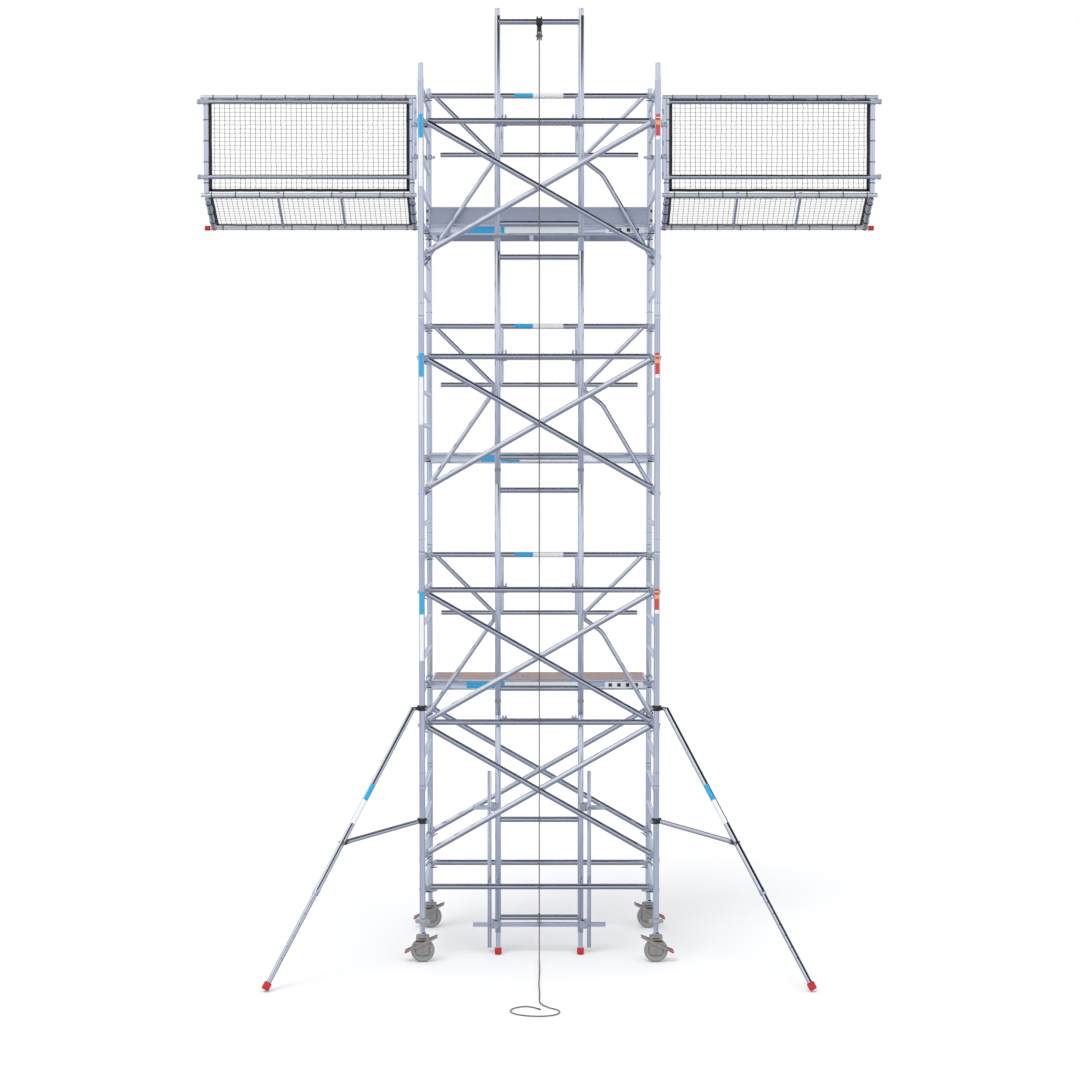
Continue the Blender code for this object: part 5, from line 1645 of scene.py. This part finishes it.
# --- stabilisers ---
def make_stabiliser(side, sign):
    post = Vector((sign * POST_X, NEAR_Y, 0))
    foot = Vector((sign * STAB_FOOT[0], NEAR_Y + STAB_FOOT[1], 0))
    out = (foot - post).normalized()
    top = post + out * 0.098 + Vector((0, 0, STAB_TOP))
    cap_r = 0.033
    lean = (foot - top).normalized()
    foot.z = cap_r * math.hypot(lean.x, lean.y)
    lean = (foot - top).normalized()
    length = (foot - top).length
    joint = top + lean * (length * STAB_JOINT)
    strut_end = top + lean * (length * 0.49)
    low = post + Vector((0, 0, STAB_CLAMP_LOW))
    high = post + Vector((0, 0, STAB_TOP))
    node, body = f"{side}_stabiliser", f"{side}_stabiliser"
    tube_length = (joint - top).length
    tubes = Shape()
    tubes.lathe(top, joint, [
        (0.0, 0.015), (0.002, 0.0225), (0.006, STAB_R), (tube_length - 0.06, STAB_R),
        (tube_length - 0.052, 0.0262),
        (tube_length - 0.002, 0.0262), (tube_length, 0.025), (tube_length, 0.0222), (0.01, 0.0222),
    ], 32)
    way = (strut_end - (low + out * 0.033)).normalized()
    start = low + out * 0.033
    tubes.bar(start + way * 0.02, strut_end - way * 0.047, 0.0195, sides=28)
    tubes.piece(f"{side}_stabiliser_tubes", body, ALUMINIUM, node)
    clamps, bolts = Shape(), Shape()
    across = out.cross(UP)
    for centre, arm_end in ((high, high + out * 0.1), (low, low + out * 0.06)):
        clamps.lathe(centre - Vector((0, 0, 0.022)), centre, mm(
            (0, 27), (0, 36.5), (2, 38), (42, 38), (44, 36.5), (44, 27),
        ), 32)
        clamps.bar(centre + out * 0.034, arm_end, 0.015, sides=20)
        for turn in (-1, 1):
            ear = centre + across * (turn * 0.043)
            clamps.block((-0.014, -0.013, -0.019), (0.014, 0.013, 0.019), 0.003,
                         placed(ear, across * turn, out))
            bolts.bolt(centre + across * (turn * 0.0565), across * turn, 0.0095, 0.007)
        eye = centre + across * 0.043 - out * 0.01
        bolts.bar(eye + out * 0.034, eye - out * 0.026, 0.005, sides=12)
        bolts.bolt(eye - out * 0.002, -out, 0.0105, 0.013)
        bolts.bar(centre - across * 0.043 + Vector((0, 0, -0.019)),
                  centre - across * 0.043 + Vector((0, 0, 0.019)),
                  0.0045, sides=12)
    joint_plate = placed(strut_end - way * 0.012, way, across)
    for face in (-1, 1):
        clamps.block((-0.044, face * 0.0215 - 0.002, -0.017), (0.03, face * 0.0215 + 0.002, 0.017), 0.001,
                     joint_plate)
        bolts.bolt(strut_end - way * 0.045 + across * (face * 0.0235), across * face, 0.0085)
        bolts.bolt(strut_end + way * 0.004 + across * (face * 0.0255), across * face, 0.0085)
        bolts.bolt(high + out * 0.098 + across * (face * 0.024), across * face, 0.009)
    pin_way = -BACK - lean * lean.dot(-BACK)
    pin_way.normalize()
    pin = joint - lean * 0.026 + pin_way * 0.026
    bolts.bar(pin, pin + pin_way * 0.014, 0.0058, sides=14)
    bolts.ball(pin + pin_way * 0.016, 0.0068)
    clamps.piece(f"{side}_stabiliser_clamps", body, BLACK, node)
    bolts.piece(f"{side}_stabiliser_bolts", body, STEEL, node)
    front = math.atan2(-0.96, -0.28 * sign)
    facing = Vector((math.cos(front), math.sin(front), 0))
    facing = (facing - lean * lean.dot(facing)).normalized()
    sideways = lean.cross(facing)
    for name, colour, share in (("cyan", CYAN, (0.28, 0.335)), ("white", WHITE, (0.336, 0.42))):
        a, b = top + lean * (length * share[0]), top + lean * (length * share[1])
        film, outline = Shape(), []
        for radius, order in ((STAB_R + 0.0004, 1), (STAB_R - 0.0003, -1)):
            arc = [math.radians(-52 + 104 * i / 10) for i in range(11)][::order]
            outline += [(radius * math.cos(t), radius * math.sin(t)) for t in arc]
        film.prism(outline, 0.0, (b - a).length, placed(a, facing, sideways), 0)
        film.piece(f"{side}_stabiliser_{name}_film", body, colour)

    node, body = f"{side}_stabiliser_foot", f"{side}_stabiliser_foot"
    lower = Shape()
    lower.bar(joint - lean * 0.45, foot - lean * 0.01, 0.0206, sides=32)
    lower.piece(f"{side}_stabiliser_lower_tube", body, ALUMINIUM, node)
    # Black discs where the pin holes are: painted shade, standing for the dark inside of each hole.
    hole_shade_discs = Shape()
    run = (foot - joint).length
    for i in range(int((run - 0.16) / 0.1)):
        place = joint + lean * (0.07 + 0.1 * i)
        for face in (-1, 1):
            hole_shade_discs.bar(place + pin_way * (face * 0.019), place + pin_way * (face * 0.0208), 0.0048,
                      sides=16, bevel=0.0003)
    hole_shade_discs.piece(f"{side}_stabiliser_pin_hole_shade_discs", body, BLACK, node)
    cap = Shape()
    cap.lathe(foot - lean * 0.062, foot, mm(
        (0, 20.7), (0, 27), (3, 30), (8, 31.2), (54, 31.2), (60, 30), (62, 27),
    ), 36)
    cap.piece(f"{side}_stabiliser_foot_cap", body, RED, node)


# --- assembly ---
make_stage()
make_rope()
make_frames()
make_braces()
make_casters()
make_platforms()
for rail_number, rail_rung in enumerate(RAIL_RUNGS, 1):
    make_guard_rail(rail_number, rail_rung)
make_ladder()
make_pulley()
make_carriage()
for side_name, side_sign in SIDES:
    for make in (make_guard_frame, make_guard_rails, make_guard_mount, make_upper_net, make_flap):
        make(side_name, side_sign)
    make_stabiliser(side_name, side_sign)
